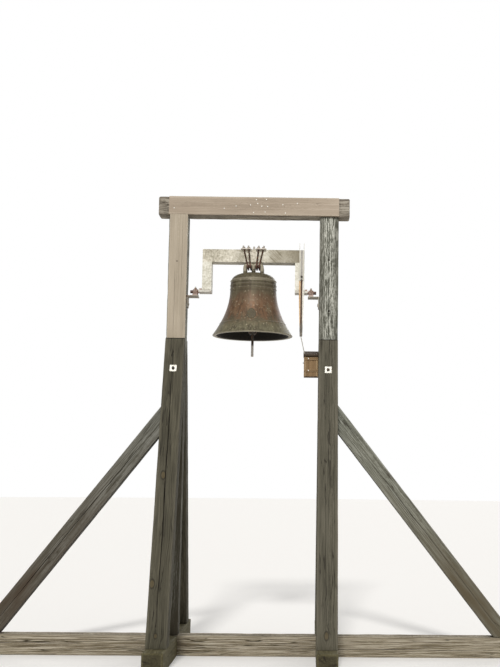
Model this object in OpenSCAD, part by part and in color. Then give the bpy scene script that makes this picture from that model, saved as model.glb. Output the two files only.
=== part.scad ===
// Wooden bell tower: an open timber frame with a bell that swings under a cranked headstock.
// Millimetres. X runs along the frame, Y through it and Z up. Z = 0 is the ground.

/* [Frame] */
// Side of the square frame timbers
timber_w = 180; // [160:5:200]
// Height of the top beam's upper face above the ground
frame_h = 4190; // [4120:10:4400]
// How far the top beam runs past each post
beam_over = 100; // [40:10:200]
// How far the sill runs past each side brace
sill_end_l = 180; // [60:10:300]
// How far each sleeper runs past its strut's foot
sleeper_over = 195; // [60:5:300]
// Wane of the posts' edges on the front and back faces
wane_x = 34; // [10:1:40]
// Wane of the posts' edges on the side faces
wane_y = 16; // [5:1:24]

/* [Boards] */
// Thickness of the weather boards
board_t = 30; // [20:1:40]
// Height of the top beam's weather board
beam_board_h = 172; // [120:2:176]
// Width of the left post's weather board
post_board_w = 168; // [120:2:168]

/* [Struts and braces] */
// Height of the raking struts' upper ends above the ground
strut_top = 2850; // [2700:10:2900]
// How far a strut's foot stands out from its upper end
strut_run = 740; // [640:10:800]
// How far the strut bolts sit below the struts' upper ends
strut_bolt_drop = 290; // [260:5:330]
// Diameter of the strut bolts
strut_bolt_d = 16; // [12:1:20]
// Length of the strut bolts below their washers
strut_bolt_l = 170; // [150:5:175]
// Side of the square washers
washer_w = 61; // [50:1:70]
// Thickness of the square washers
washer_t = 6; // [4:1:8]
// Angle of the side braces above the ground
brace_angle = 52; // [50:1:54]
// Distance from a post to the inner edge of its brace's foot
brace_run = 1420; // [1300:10:1500]
// Width of the side braces across their length
brace_w = 160; // [120:5:170]
// Thickness of the side braces through the frame
brace_d = 150; // [100:5:170]

/* [Bearings] */
// Distance of the swing axis below the top beam
axis_drop = 710; // [680:5:740]
// Diameter of the gudgeons
gudgeon_d = 30; // [24:1:34]
// Radial clearance of the gudgeons in the bearings
gudgeon_clear = 0.05; // [0.02:0.01:0.1]
// Distance from a post to the middle of its bearing
bearing_out = 75; // [70:1:78]
// Height of the swing axis above the bearing's foot
bearing_h = 43; // [40:1:50]
// Width of the bearing's foot along the frame
bearing_w = 46; // [40:1:50]
// Length of the bearing's foot through the frame
bearing_l = 140; // [130:2:144]
// Length of the angle bracket's two legs
bracket_l = 104; // [102:1:112]
// Thickness of the angle bracket
bracket_t = 7; // [5:1:12]

/* [Headstock] */
// Length of the headstock beam
head_l = 950; // [920:5:960]
// Depth of the headstock through the frame
head_d = 140; // [120:2:160]
// Height of the headstock beam
head_h = 120; // [100:2:140]
// Wall of the headstock's steel box sections
head_wall = 8; // [6:1:12]
// Height of the legs under the headstock beam
leg_h = 264; // [240:2:280]
// Width of the headstock legs
leg_w = 86; // [70:2:100]
// Thickness of the plates under the legs
leg_plate_t = 20; // [16:1:28]
// How far those plates run out past the legs
leg_plate_out = 33; // [28:1:40]
// Gap between a leg plate and its bearing
plate_gap = 9; // [6:1:15]

/* [Bell] */
// Radius of the bell's lip
lip_r = 372; // [350:2:380]
// Radius of the bell's shoulder
shoulder_r = 213; // [200:1:225]
// Height of the bell's body without its crown
body_h = 602; // [590:2:610]
// Height of the bell's crown
crown_h = 88; // [80:1:100]
// Wall of the bell at the waist
wall = 24; // [18:1:30]
// Thickness of the soundbow
soundbow_t = 50; // [42:1:56]
// Radius of the crown loops' bars
loop_r = 17; // [14:1:20]
// Radius of the hole in a crown loop
loop_hole_r = 22.5; // [20:0.5:26]
// Depth of the crown through the frame
crown_d = 134; // [120:2:140]

/* [Straps] */
// Diameter of the strap rods
strap_d = 14; // [10:1:16]
// Distance of the inner strap's top from the bell's axis
strap_in_x = 46; // [42:1:52]
// Distance of the outer strap's top from the bell's axis
strap_out_x = 91; // [86:1:100]
// Thickness of the strap plates
strap_plate_t = 8; // [5:1:12]

/* [Lever] */
// Width of the ringing lever
lever_w = 46; // [36:1:56]
// Depth of the ringing lever
lever_d = 25; // [18:1:30]
// Thickness of the lever's metal
lever_t = 5; // [4:0.5:7]
// Width of the ringing lever at its foot
lever_foot_w = 24; // [20:1:30]
// Height of the lever's upper end above the headstock beam
lever_up = 60; // [30:5:90]
// Distance of the lever's lower end below the swing axis
lever_down = 420; // [380:5:440]

/* [Clapper] */
// Distance of the clapper's pin below the top of the bell's body
clapper_pin_drop = 97; // [90:1:105]
// Diameter of the clapper's pin
clapper_pin_d = 14; // [10:1:18]
// Radial clearance of the clapper on its pin
clapper_clear = 0.05; // [0.02:0.01:0.1]
// Radius of the clapper's ball
ball_r = 42; // [34:1:46]
// Height of the ball's middle above the lip
ball_h = 52; // [40:2:70]
// How far the clapper's tail hangs below the lip
tail_l = 190; // [120:5:220]
// Diameter of the clapper's tail
tail_d = 24; // [16:1:30]
// Diameter of the clapper staple's bolt
staple_d = 18; // [14:1:22]

/* [Drive box] */
// Width of the drive box
box_w = 134; // [120:1:140]
// Depth of the drive box through the frame
box_d = 130; // [100:2:146]
// Height of the drive box without its roof
box_h = 187; // [160:1:220]
// Distance from the lever's foot down to the top of the drive box's roof
cord_fall = 121; // [110:1:160]
// Thickness of the drive box's front
box_front_t = 12; // [8:1:18]
// Diameter of the pull cord
cord_d = 8; // [6:1:10]

/* [Hidden] */
$fn = 48;

// Frame
bearing_x = head_l / 2 + leg_plate_out + plate_gap + bearing_w / 2;
post_in = bearing_x + bearing_out;
post_out = post_in + timber_w;
post_x = post_in + timber_w / 2;
beam_z = frame_h - timber_w;
axis_h = beam_z - axis_drop;
tenon_x = timber_w / 2;
tenon_y = timber_w / 3;
tenon_h = 60;
tenon_clear = 0.5;
board_set = 4;
beam_l = 2 * (post_out + beam_over);
brace_foot = brace_run + brace_w / sin(brace_angle);
sill_l = 2 * (post_out + brace_foot + sill_end_l);

// Struts: the rake is the angle of their faces from the vertical
strut_rise = strut_top - timber_w;
rake = atan2(strut_run, strut_rise);
strut_head_y = timber_w / 2 + board_t;
strut_foot_y = strut_head_y + strut_run;
strut_back_y = strut_foot_y - timber_w / cos(rake);
sleeper_l = 2 * (strut_foot_y + sleeper_over);
strut_bolt_y = strut_head_y + strut_bolt_drop * tan(rake);
strut_bolt_z = strut_top - strut_bolt_drop;
bolt_hole_clear = 0.2;
bolt_head_h = 10;

// Bearings and headstock
bracket_z = axis_h - bearing_h;
plate_z = axis_h - leg_plate_t / 2;
leg_z = axis_h + leg_plate_t / 2;
head_z = leg_z + leg_h;
head_top = head_z + head_h;
plate_end = head_l / 2 + leg_plate_out;
gudgeon_end = bearing_x + bearing_w / 2 + 26;

// Bell: its crown's top carries the headstock's underside
lip_z = head_z - crown_h - body_h;
argent_w = 2 * loop_r;
loop_x = loop_r + loop_hole_r;
loop_y = crown_d / 2 - loop_r;
loop_z = body_h + crown_h - loop_x - loop_r - 2;
pin_z = lip_z + body_h - clapper_pin_drop;
loop_root = 60;
argent_root = 20;
staple_seat = 3;

// Straps: a U under each pair of loops, with both legs beside the headstock beam
strap_gap = 0.4;
strap_y = head_d / 2 + strap_d / 2 + 5;
strap_bend = 20;
strap_fit = loop_hole_r - strap_d / 2 - strap_gap;
strap_side = 0.75 * strap_fit;
strap_in_foot = loop_x - strap_side;
strap_out_foot = loop_x + strap_side;
strap_z = lip_z + loop_z + sqrt(pow(strap_fit, 2) - pow(strap_side, 2));
strap_top_z = head_top + strap_plate_t;
strap_nut_h = 13;
strap_nut_w = 24;
strap_plate_in = strap_in_x - 25;
strap_plate_w = strap_out_x + 27 - strap_plate_in;
strap_plate_l = 2 * (strap_y + 17);

// Lever and drive box
lever_x = head_l / 2 - lever_w / 2 - 1;
lever_y = -head_d / 2;
lever_z = axis_h - lever_down;
lever_top = head_top + lever_up;
lever_bolt_d = 12;
lever_bolt_drop = 132;
lever_bolt_step = 36;
lever_bolt_z = [head_z - lever_bolt_drop, head_z - lever_bolt_drop - lever_bolt_step];
box_x = post_in - box_w;
box_over = 4;
roof_low = 16;
roof_high = 62;
roof_eave = 22;
box_top = lever_z - cord_fall - roof_high;
box_z = box_top - box_h;
cord_gap = 1.2;
cord_from = [lever_x, lever_y - lever_t / 2, lever_z - cord_gap];
cord_to = [box_x + 10, lever_y - 2, box_top + 2];
cord_hole_clear = 3;

// A copy on the left and right, or on the front and rear
module left() { mirror([1, 0, 0]) children(); }
module rear() { mirror([0, 1, 0]) children(); }

// Extrudes a profile drawn in Y and Z along X, centred on X = 0
module along_x(length) {
    rotate([90, 0, 90]) linear_extrude(length, center = true) children();
}

// Extrudes a profile drawn in X and Z along Y, centred on Y = 0
module along_y(length) {
    rotate([90, 0, 0]) linear_extrude(length, center = true) children();
}

module block(x0, x1, y0, y1, z0, z1) {
    translate([x0, y0, z0]) cube([x1 - x0, y1 - y0, z1 - z0]);
}

module rod_x(x0, x1, d) {
    translate([x0, 0, 0]) rotate([0, 90, 0]) cylinder(h = x1 - x0, d = d);
}

module hexagon(across, height) {
    cylinder(h = height, d = across / cos(30), $fn = 6);
}

// Base: the sill runs along X, half-lapped over the two sleepers
module sill() {
    color("#8d867c") difference() {
        block(-sill_l / 2, sill_l / 2, -timber_w / 2, timber_w / 2, 0, timber_w);
        for (x = [-post_x, post_x]) {
            block(x - timber_w / 2, x + timber_w / 2, -timber_w, timber_w, -1, timber_w / 2);
            tenon(x, timber_w - tenon_h - 2, timber_w + 1, tenon_clear);
        }
    }
}

// A post's tenon, or with some clearance the mortise for it
module tenon(x, z0, z1, clear) {
    block(x - tenon_x / 2 - clear, x + tenon_x / 2 + clear,
        -tenon_y / 2 - clear, tenon_y / 2 + clear, z0, z1);
}

module sleeper(x) {
    color("#8a8378") difference() {
        block(x - timber_w / 2, x + timber_w / 2, -sleeper_l / 2, sleeper_l / 2, 0, timber_w);
        block(x - timber_w, x + timber_w, -timber_w / 2, timber_w / 2, timber_w / 2, timber_w + 1);
    }
}

// Posts with waney edges, bored for the strut bolts
module post_outline() {
    h = timber_w / 2;
    polygon([
        [-h + wane_x, -h], [h - wane_x, -h], [h, -h + wane_y], [h, h - wane_y],
        [h - wane_x, h], [-h + wane_x, h], [-h, h - wane_y], [-h, -h + wane_y]
    ]);
}

module right_post() {
    color("#9d968b") difference() {
        union() {
            translate([post_x, 0, timber_w]) linear_extrude(beam_z - timber_w) post_outline();
            tenon(post_x, timber_w - tenon_h, beam_z + tenon_h, 0);
        }
        front_bolt_hole();
        rear() front_bolt_hole();
    }
}

module top_beam() {
    color("#8f887d") difference() {
        block(-beam_l / 2, beam_l / 2, -timber_w / 2, timber_w / 2, beam_z, frame_h);
        for (x = [-post_x, post_x]) tenon(x, beam_z - 1, beam_z + tenon_h + 2, tenon_clear);
    }
}

module beam_board() {
    color("#c2a98a")
        translate([-post_out, -timber_w / 2 - board_t, frame_h - board_set - beam_board_h])
            cube([2 * post_out, board_t, beam_board_h]);
}

module left_post_board() {
    color("#c2a98a")
        translate([-post_in - post_board_w, -timber_w / 2 - board_t, strut_top])
            cube([post_board_w, board_t, frame_h - board_set - beam_board_h - strut_top]);
}

// Struts: a long bevel lies on the post, and the foot stands on the sleeper
module strut_profile() {
    bevel_z = timber_w + (strut_back_y - timber_w / 2) / tan(rake);
    polygon([
        [-strut_foot_y, timber_w], [-strut_head_y, strut_top], [-timber_w / 2, strut_top],
        [-timber_w / 2, bevel_z], [-strut_back_y, timber_w]
    ]);
}

module right_front_strut() {
    color("#877c70") difference() {
        translate([post_x, 0, 0]) along_x(timber_w) strut_profile();
        front_bolt_hole();
    }
}

// Places a child on the right front strut's face, with +Z out of the face
module on_strut_face() {
    translate([post_x, -strut_bolt_y, strut_bolt_z]) rotate([90 - rake, 0, 0]) children();
}

module front_bolt_hole() {
    on_strut_face() translate([0, 0, -strut_bolt_l - 1])
        cylinder(h = strut_bolt_l + 3, d = strut_bolt_d + 2 * bolt_hole_clear);
}

module right_front_bolt() {
    color("#b9b4aa") on_strut_face() {
        translate([0, 0, washer_t / 2]) cube([washer_w, washer_w, washer_t], center = true);
        translate([0, 0, washer_t]) hexagon(1.5 * strut_bolt_d, bolt_head_h);
        translate([0, 0, -strut_bolt_l]) cylinder(h = strut_bolt_l + washer_t, d = strut_bolt_d);
    }
}

// Side braces in the plane of the frame
module right_brace() {
    z0 = timber_w + brace_run * tan(brace_angle);
    color("#8f867a") along_y(brace_d) polygon([
        [post_out, z0], [post_out, z0 + brace_w / cos(brace_angle)],
        [post_out + brace_foot, timber_w], [post_out + brace_run, timber_w]
    ]);
}

// Brackets and bearings
module right_bracket() {
    w = bearing_l / 2 + 2;
    color("#a8632f") {
        block(post_in - bracket_l, post_in, -w, w, bracket_z - bracket_t, bracket_z);
        block(post_in - bracket_t, post_in, -w, w, bracket_z - bracket_l, bracket_z - bracket_t);
        for (y = [-w / 2, w / 2])
            translate([post_in - bracket_t, y, bracket_z - bracket_l + 32])
                rotate([0, -90, 0]) hexagon(18, 7);
    }
}

module right_bearing() {
    foot_t = 14;
    shell_r = 38;
    cap_z = axis_h + shell_r;
    foot_x = [bearing_x - bearing_w / 2, bearing_x + bearing_w / 2];
    color("#8c5a3c") difference() {
        union() {
            block(foot_x[0], foot_x[1], -bearing_l / 2, bearing_l / 2, bracket_z, bracket_z + foot_t);
            hull() {
                block(foot_x[0], foot_x[1], -54, 54, bracket_z + foot_t - 1, bracket_z + foot_t);
                block(bearing_x - 8, bearing_x + 8, -17, 17, cap_z - 1, cap_z);
            }
            translate([0, 0, axis_h]) rod_x(foot_x[0], foot_x[1], 48);
            translate([bearing_x, 0, cap_z - 2]) cylinder(h = 12, d = 9);
            for (y = [-bearing_l / 2 + 13, bearing_l / 2 - 13])
                translate([bearing_x, y, bracket_z + foot_t]) hexagon(19, 9);
        }
        translate([0, 0, axis_h])
            rod_x(foot_x[0] - 1, foot_x[1] + 1, gudgeon_d + 2 * gudgeon_clear);
    }
}

// Headstock: a beam with a leg under each end, so that the bell hangs high between its bearings
module headstock_beam() {
    inner_y = head_d / 2 - head_wall;
    color("#bdb6aa") difference() {
        block(-head_l / 2, head_l / 2, -head_d / 2, head_d / 2, head_z, head_top);
        block(-head_l / 2 - 1, head_l / 2 + 1, -inner_y, inner_y,
            head_z + head_wall, head_top - head_wall);
        translate([0, 0, head_z - 1]) cylinder(h = head_h + 2, d = staple_d + 1);
    }
}

module leg_tube() {
    inner_y = head_d / 2 - head_wall;
    difference() {
        block(head_l / 2 - leg_w, head_l / 2, -head_d / 2, head_d / 2, leg_z, head_z);
        block(head_l / 2 - leg_w + head_wall, head_l / 2 - head_wall, -inner_y, inner_y,
            leg_z - 1, head_z + 1);
    }
}

module right_leg() {
    color("#b5aea2") difference() {
        leg_tube();
        for (z = lever_bolt_z) lever_bolt_hole(z);
    }
}

module left_leg() {
    color("#b5aea2") left() leg_tube();
}

module right_gudgeon() {
    color("#6f5a4b") {
        block(head_l / 2 - leg_w, plate_end, -head_d / 2, head_d / 2, plate_z, leg_z);
        translate([0, 0, axis_h]) rod_x(plate_end, gudgeon_end, gudgeon_d);
        block(plate_end - 29, plate_end - 1, -14, 14, leg_z, leg_z + 22);
    }
}

// Straps
module right_strap_plate() {
    color("#8a8077") difference() {
        block(strap_plate_in, strap_plate_in + strap_plate_w,
            -strap_plate_l / 2, strap_plate_l / 2, head_top, strap_top_z);
        strap_legs(strap_in_foot, strap_in_x, strap_d + 1);
        strap_legs(strap_out_foot, strap_out_x, strap_d + 1);
    }
}

// The angle that takes a strap from its foot in the loop to its place in the plate
function strap_lean(foot, top) = atan2(top - foot, strap_top_z - strap_z);
function strap_leg_l(foot, top) = (strap_top_z - strap_z) / cos(strap_lean(foot, top));

module strap_legs(foot, top, d) {
    translate([foot, 0, strap_z]) rotate([0, strap_lean(foot, top), 0])
        for (y = [-strap_y, strap_y]) translate([0, y, strap_bend])
            cylinder(h = strap_leg_l(foot, top) - strap_bend + strap_nut_h + 14, d = d);
}

module strap(foot, top) {
    run = strap_y - strap_bend;
    color("#5b4638") {
        strap_legs(foot, top, strap_d);
        translate([foot, 0, strap_z]) rotate([0, strap_lean(foot, top), 0]) {
            rotate([90, 0, 0]) cylinder(h = 2 * run, d = strap_d, center = true);
            for (s = [0, 180]) rotate([0, 0, s]) translate([0, run, strap_bend])
                rotate([90, 0, 90]) rotate([0, 0, -90])
                    rotate_extrude(angle = 90) translate([strap_bend, 0]) circle(d = strap_d);
        }
        for (y = [-strap_y, strap_y])
            translate([top, y, strap_top_z]) hexagon(strap_nut_w, strap_nut_h);
    }
}

// Bell: outer and inner outlines are smooth curves from the lip to the shoulder and over the dome
function bez(a, b, c, d, t) =
    pow(1 - t, 3) * a + 3 * pow(1 - t, 2) * t * b + 3 * (1 - t) * t * t * c + pow(t, 3) * d;
function curve(a, b, c, d, n) = [for (i = [0 : n]) bez(a, b, c, d, i / n)];

// Their middle points are shares of the bell's height and of its flare from shoulder to lip.
flare = lip_r - shoulder_r;
waist_top = 0.715 * body_h;
crown_wall = wall + 4;
inner_r = shoulder_r - wall;
bow_in = lip_r - soundbow_t - 6;
outer_waist = curve([lip_r - 6, 14], [shoulder_r + 0.484 * flare, 0.216 * body_h],
    [shoulder_r + 0.057 * flare, 0.415 * body_h], [shoulder_r + 2, waist_top], 22);
outer_dome = curve([shoulder_r, 0.83 * body_h], [shoulder_r - 6, 0.937 * body_h],
    [0.718 * shoulder_r, 0.987 * body_h], [0, body_h], 12);
inner_dome = curve([0, body_h - crown_wall], [0.735 * inner_r, body_h - crown_wall - 6],
    [inner_r - 4, 0.904 * body_h], [inner_r, 0.814 * body_h], 10);
inner_waist = curve([inner_r + 1, waist_top], [inner_r + 0.063 * flare, 0.415 * body_h],
    [bow_in - 0.25 * flare, 0.2 * body_h], [bow_in, 18], 18);
rings = [[3, 112], [2, body_h - 118], [3, body_h - 86], [2, body_h - 56]];

module bell_outline() {
    polygon(concat([[lip_r - 34, 0], [lip_r - 4, 0], [lip_r, 5]], outer_waist, outer_dome,
        inner_dome, inner_waist));
    for (ring = rings)
        translate([outer_r(ring[1]), ring[1]]) circle(ring[0] + 1.5, $fn = 20);
}

// Radius of the bell's outside at a height, between the outline's own points
function outer_r(z) = lookup(z, [for (p = concat(outer_waist, outer_dome)) [p[1], p[0]]]);

module crown_loop() {
    translate([loop_x, 0, loop_z]) rotate([90, 0, 0])
        rotate_extrude(angle = 180) translate([loop_x, 0]) circle(loop_r);
    translate([2 * loop_x, 0, body_h - loop_root])
        cylinder(h = loop_z - body_h + loop_root, r = loop_r);
    translate([0, 0, body_h - argent_root])
        cylinder(h = loop_z - body_h + argent_root, r = loop_r);
}

module bell() {
    color("#7a5a3e") translate([0, 0, lip_z]) difference() {
        union() {
            rotate_extrude($fn = 96) bell_outline();
            for (y = [-loop_y, loop_y], side = [0, 1]) translate([0, y, 0])
                mirror([side, 0, 0]) crown_loop();
            block(-argent_w / 2, argent_w / 2, -crown_d / 2 + loop_r, crown_d / 2 - loop_r,
                body_h - argent_root, body_h + crown_h);
        }
        translate([0, 0, body_h - 2 * crown_wall])
            cylinder(h = crown_h + 3 * crown_wall, d = staple_d + 1);
    }
}

// Clapper: its staple's bolt passes up through the crown and the headstock beam
module clapper_staple() {
    shoulder_z = lip_z + body_h - crown_wall;
    cheek = 9;
    gap = 11;
    color("#57504a") difference() {
        union() {
            translate([0, 0, shoulder_z - 12])
                cylinder(h = strap_top_z + 34 - shoulder_z + 12, d = staple_d);
            translate([0, 0, head_top]) cylinder(h = 5, d = 38);
            translate([0, 0, head_top + 5]) hexagon(28, 15);
            block(-gap - cheek, gap + cheek, -18, 18, shoulder_z - 15, shoulder_z - staple_seat);
            for (x = [-gap - cheek, gap])
                block(x, x + cheek, -16, 16, pin_z - 18, shoulder_z - 13);
            translate([0, 0, pin_z]) rod_x(-gap - cheek - 6, gap + cheek + 6, clapper_pin_d);
        }
    }
}

module clapper() {
    eye_w = 16;
    ball_z = lip_z + ball_h;
    color("#4f4a45") difference() {
        union() {
            translate([0, 0, pin_z]) rod_x(-eye_w / 2, eye_w / 2, 44);
            translate([0, 0, ball_z]) cylinder(h = pin_z - 12 - ball_z, r1 = 13, r2 = 8);
            translate([0, 0, ball_z]) sphere(ball_r);
            translate([0, 0, lip_z - tail_l]) cylinder(h = ball_z - lip_z + tail_l, d = tail_d);
        }
        translate([0, 0, pin_z]) rod_x(-eye_w, eye_w, clapper_pin_d + 2 * clapper_clear);
    }
}

// Ringing lever: a channel with its open side to the front, narrower towards its foot
module lever_outline(inset, past) {
    taper_l = 330;
    w = lever_w / 2 - inset;
    foot = lever_foot_w / 2 - inset;
    polygon([
        [-foot, lever_z - past], [foot, lever_z - past], [foot, lever_z],
        [w, lever_z + taper_l], [w, lever_top + past],
        [-w, lever_top + past], [-w, lever_z + taper_l], [-foot, lever_z]
    ]);
}

module ringing_lever() {
    prong_h = 60;
    taper_h = 70;
    front = lever_y - lever_d;
    color("#a39c93") difference() {
        translate([lever_x, front + lever_d / 2, 0]) along_y(lever_d) lever_outline(0, 0);
        translate([lever_x, front + lever_d / 2 - lever_t, 0]) along_y(lever_d)
            lever_outline(lever_t, 1);
        translate([lever_x - lever_w / 2 + lever_t, front - 1, lever_top - prong_h])
            cube([lever_w - 2 * lever_t, lever_d + 2, prong_h + 1]);
        translate([lever_x, 0, lever_z]) along_x(lever_w + 2) polygon([
            [front - 1, -1], [lever_y - lever_t, -1], [front - 1, taper_h]
        ]);
        for (z = lever_bolt_z) lever_bolt_hole(z);
    }
}

module lever_bolt_hole(z) {
    translate([lever_x, lever_y - lever_d, z]) rotate([-90, 0, 0])
        cylinder(h = head_d + lever_d + 10, d = lever_bolt_d + 0.4);
}

module lever_bolt(z) {
    color("#8d7f6f") translate([lever_x, lever_y - lever_t, z]) rotate([90, 0, 0]) {
        hexagon(19, 8);
        translate([0, 0, -head_d - lever_t - 22])
            cylinder(h = head_d + lever_t + 22, d = lever_bolt_d);
        translate([0, 0, -head_d - lever_t - 10]) hexagon(19, 10);
    }
}

// Drive box on the right post's inner face
module drive_box() {
    color("#b0783f")
        block(box_x, post_in, -box_d / 2, box_d / 2, box_z, box_top);
}

module drive_box_front() {
    y0 = -box_d / 2 - box_front_t;
    color("#bd8448") {
        block(box_x + 3, post_in - 3, y0, -box_d / 2, box_z + 3, box_top - 3);
        for (z = [box_z + 45, box_top - 33])
            block(box_x + 3, post_in - 3, y0 - 8, y0, z, z + 22);
    }
}

module drive_box_roof() {
    front_y = -box_d / 2 - box_front_t - roof_eave;
    x0 = box_x - box_over;
    color("#4a3527") difference() {
        translate([(x0 + post_in) / 2, 0, box_top])
            along_x(post_in - x0) polygon([
                [front_y, 0], [box_d / 2, 0], [box_d / 2, roof_high], [front_y, roof_low]
            ]);
        between(cord_to - (cord_from - cord_to), cord_from, cord_d + 2 * cord_hole_clear);
    }
}

// Pull cord from the lever's foot into the drive box's roof
module pull_cord() {
    color("#cfc9bd") between(cord_to, cord_from, cord_d);
}

// A round bar from one point to another
module between(p, q, d) {
    v = q - p;
    translate(p) rotate([0, acos(v[2] / norm(v)), atan2(v[1], v[0])])
        cylinder(h = norm(v), d = d);
}

sill();
sleeper(-post_x);  // left_sleeper
sleeper(post_x);  // right_sleeper
left() right_post();  // left_post
right_post();
top_beam();
beam_board();
left_post_board();
left() right_brace();  // left_brace
right_brace();
left() right_front_strut();  // left_front_strut
right_front_strut();
rear() left() right_front_strut();  // left_rear_strut
rear() right_front_strut();  // right_rear_strut
left() right_front_bolt();  // left_front_bolt
right_front_bolt();
rear() left() right_front_bolt();  // left_rear_bolt
rear() right_front_bolt();  // right_rear_bolt
left() right_bracket();  // left_bracket
right_bracket();
left() right_bearing();  // left_bearing
right_bearing();
drive_box();
drive_box_front();
drive_box_roof();
headstock_beam();
left_leg();
right_leg();
left() right_gudgeon();  // left_gudgeon
right_gudgeon();
left() right_strap_plate();  // left_strap_plate
right_strap_plate();
left() strap(strap_out_foot, strap_out_x);  // left_outer_strap
left() strap(strap_in_foot, strap_in_x);  // left_inner_strap
strap(strap_in_foot, strap_in_x);  // right_inner_strap
strap(strap_out_foot, strap_out_x);  // right_outer_strap
bell();
clapper_staple();
clapper();
ringing_lever();
lever_bolt(lever_bolt_z[0]);  // upper_lever_bolt
lever_bolt(lever_bolt_z[1]);  // lower_lever_bolt
pull_cord();
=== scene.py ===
import math
import random

import bmesh
import bpy
from mathutils import Matrix, Vector, noise


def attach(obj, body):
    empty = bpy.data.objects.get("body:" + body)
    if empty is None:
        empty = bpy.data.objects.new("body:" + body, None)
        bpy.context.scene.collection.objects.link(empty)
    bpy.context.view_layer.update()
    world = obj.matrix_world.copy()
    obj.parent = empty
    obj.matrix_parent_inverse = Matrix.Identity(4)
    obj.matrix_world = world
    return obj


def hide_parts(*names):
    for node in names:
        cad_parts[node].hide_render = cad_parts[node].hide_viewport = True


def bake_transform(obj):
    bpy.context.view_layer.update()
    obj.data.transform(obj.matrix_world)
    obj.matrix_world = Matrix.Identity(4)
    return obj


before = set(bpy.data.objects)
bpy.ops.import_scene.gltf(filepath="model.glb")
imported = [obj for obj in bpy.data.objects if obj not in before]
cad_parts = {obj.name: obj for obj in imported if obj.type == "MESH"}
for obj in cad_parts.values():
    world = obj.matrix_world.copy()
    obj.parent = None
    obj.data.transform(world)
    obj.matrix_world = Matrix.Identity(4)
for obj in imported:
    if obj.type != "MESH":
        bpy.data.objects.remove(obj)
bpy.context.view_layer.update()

scene = bpy.context.scene
UP, RIGHT, BACK = Vector((0, 0, 1)), Vector((1, 0, 0)), Vector((0, 1, 0))

# ---------------------------------------------------------------- camera, light and floor

# Fitted to the photograph: its place in metres, its turns in radians and its focal length in
# pixels. The lens's axis meets the picture 75 pixels to the right of its middle.
CAMERA_PLACE = Vector((0.5189, -10.0799, 1.6273))
CAMERA_YAW, CAMERA_PITCH, CAMERA_ROLL = -0.0155, 0.1276, 0.0098
FOCAL_PIXELS, FRAME_PIXELS, AXIS_RIGHT_PIXELS = 1089.0, 667, 75
SENSOR_WIDTH, FLOOR_RADIUS, FLOOR_LIFT, AMBIENT = 36, 60, 0.20, 0.32
# Name, where it shines from, softness in radians and strength. The sun stands nearly square to
# the front and 32 degrees high, as in the photograph, so little of the frame is in shade.
LAMPS = (("key", (-0.7, -10, 6.4), 0.12, 1.93),
         ("fill", (8, -7, 3), 0.9, 0.15),
         ("back", (2, 9, 6), 0.9, 1.0))


def make_camera():
    forward = Vector((-math.sin(CAMERA_YAW), math.cos(CAMERA_YAW), 0))
    level = Vector((math.cos(CAMERA_YAW), math.sin(CAMERA_YAW), 0))
    look = math.cos(CAMERA_PITCH) * forward + math.sin(CAMERA_PITCH) * UP
    top = math.cos(CAMERA_PITCH) * UP - math.sin(CAMERA_PITCH) * forward
    side = math.cos(CAMERA_ROLL) * level + math.sin(CAMERA_ROLL) * top
    top = math.cos(CAMERA_ROLL) * top - math.sin(CAMERA_ROLL) * level
    data = bpy.data.cameras.new("camera")
    data.sensor_width = SENSOR_WIDTH
    data.lens = data.sensor_width * FOCAL_PIXELS / FRAME_PIXELS
    data.shift_x = -AXIS_RIGHT_PIXELS / FRAME_PIXELS
    data.clip_end = 5 * FLOOR_RADIUS
    camera = bpy.data.objects.new("camera", data)
    scene.collection.objects.link(camera)
    turn = Matrix((side, top, -look)).transposed()
    camera.matrix_world = Matrix.Translation(CAMERA_PLACE) @ turn.to_4x4()
    scene.camera = camera


def colour(code):
    """The linear colour of an sRGB hex code."""
    shares = [int(code[i:i + 2], 16) / 255 for i in (1, 3, 5)]
    return tuple(c / 12.92 if c <= 0.04045 else ((c + 0.055) / 1.055) ** 2.4
                 for c in shares) + (1.0,)


def add(tree, kind, inputs=None, stops=None, **settings):
    """Adds a node with its settings, its ramp stops and its links, and returns its outputs."""
    made = tree.nodes.new("ShaderNode" + kind)
    for name, value in settings.items():
        setattr(made, name, value)
    if stops:
        band = made.color_ramp.elements
        while len(band) > 1:
            band.remove(band[-1])
        for i, (place, tone) in enumerate(stops):
            mark = band[0] if i == 0 else band.new(place)
            mark.position = place
            mark.color = colour(tone) if isinstance(tone, str) else (tone, tone, tone, 1)
    for name, value in (inputs or {}).items():
        if isinstance(value, bpy.types.NodeSocket):
            tree.links.new(value, made.inputs[name])
        elif isinstance(value, str):
            made.inputs[name].default_value = colour(value)
        else:
            made.inputs[name].default_value = value
    return made.outputs


def seen_by(tree, *rays):
    """1 for these kinds of rays and 0 for all others."""
    path = add(tree, "LightPath")
    seen = path[rays[0]]
    for ray in rays[1:]:
        seen = add(tree, "Math", {0: seen, 1: path[ray]}, operation="MAXIMUM")[0]
    return seen


def make_light():
    world = bpy.data.worlds.new("studio")
    scene.world = world
    world.use_nodes = True
    tree = world.node_tree
    # The background is white where it is seen and dimmer where it lights.
    seen = seen_by(tree, "Is Camera Ray", "Is Glossy Ray", "Is Transmission Ray")
    glow = add(tree, "MapRange", {"Value": seen, "To Min": AMBIENT, "To Max": 1.0})[0]
    tree.links.new(glow, tree.nodes["Background"].inputs["Strength"])
    tree.nodes["Background"].inputs["Color"].default_value = (1, 1, 1, 1)
    for name, place, softness, strength in LAMPS:
        lamp = bpy.data.lights.new(name, "SUN")
        lamp.angle, lamp.energy = softness, strength
        light = bpy.data.objects.new(name, lamp)
        scene.collection.objects.link(light)
        light.location = place
        light.rotation_euler = Vector(place).to_track_quat("Z", "Y").to_euler()


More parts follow.
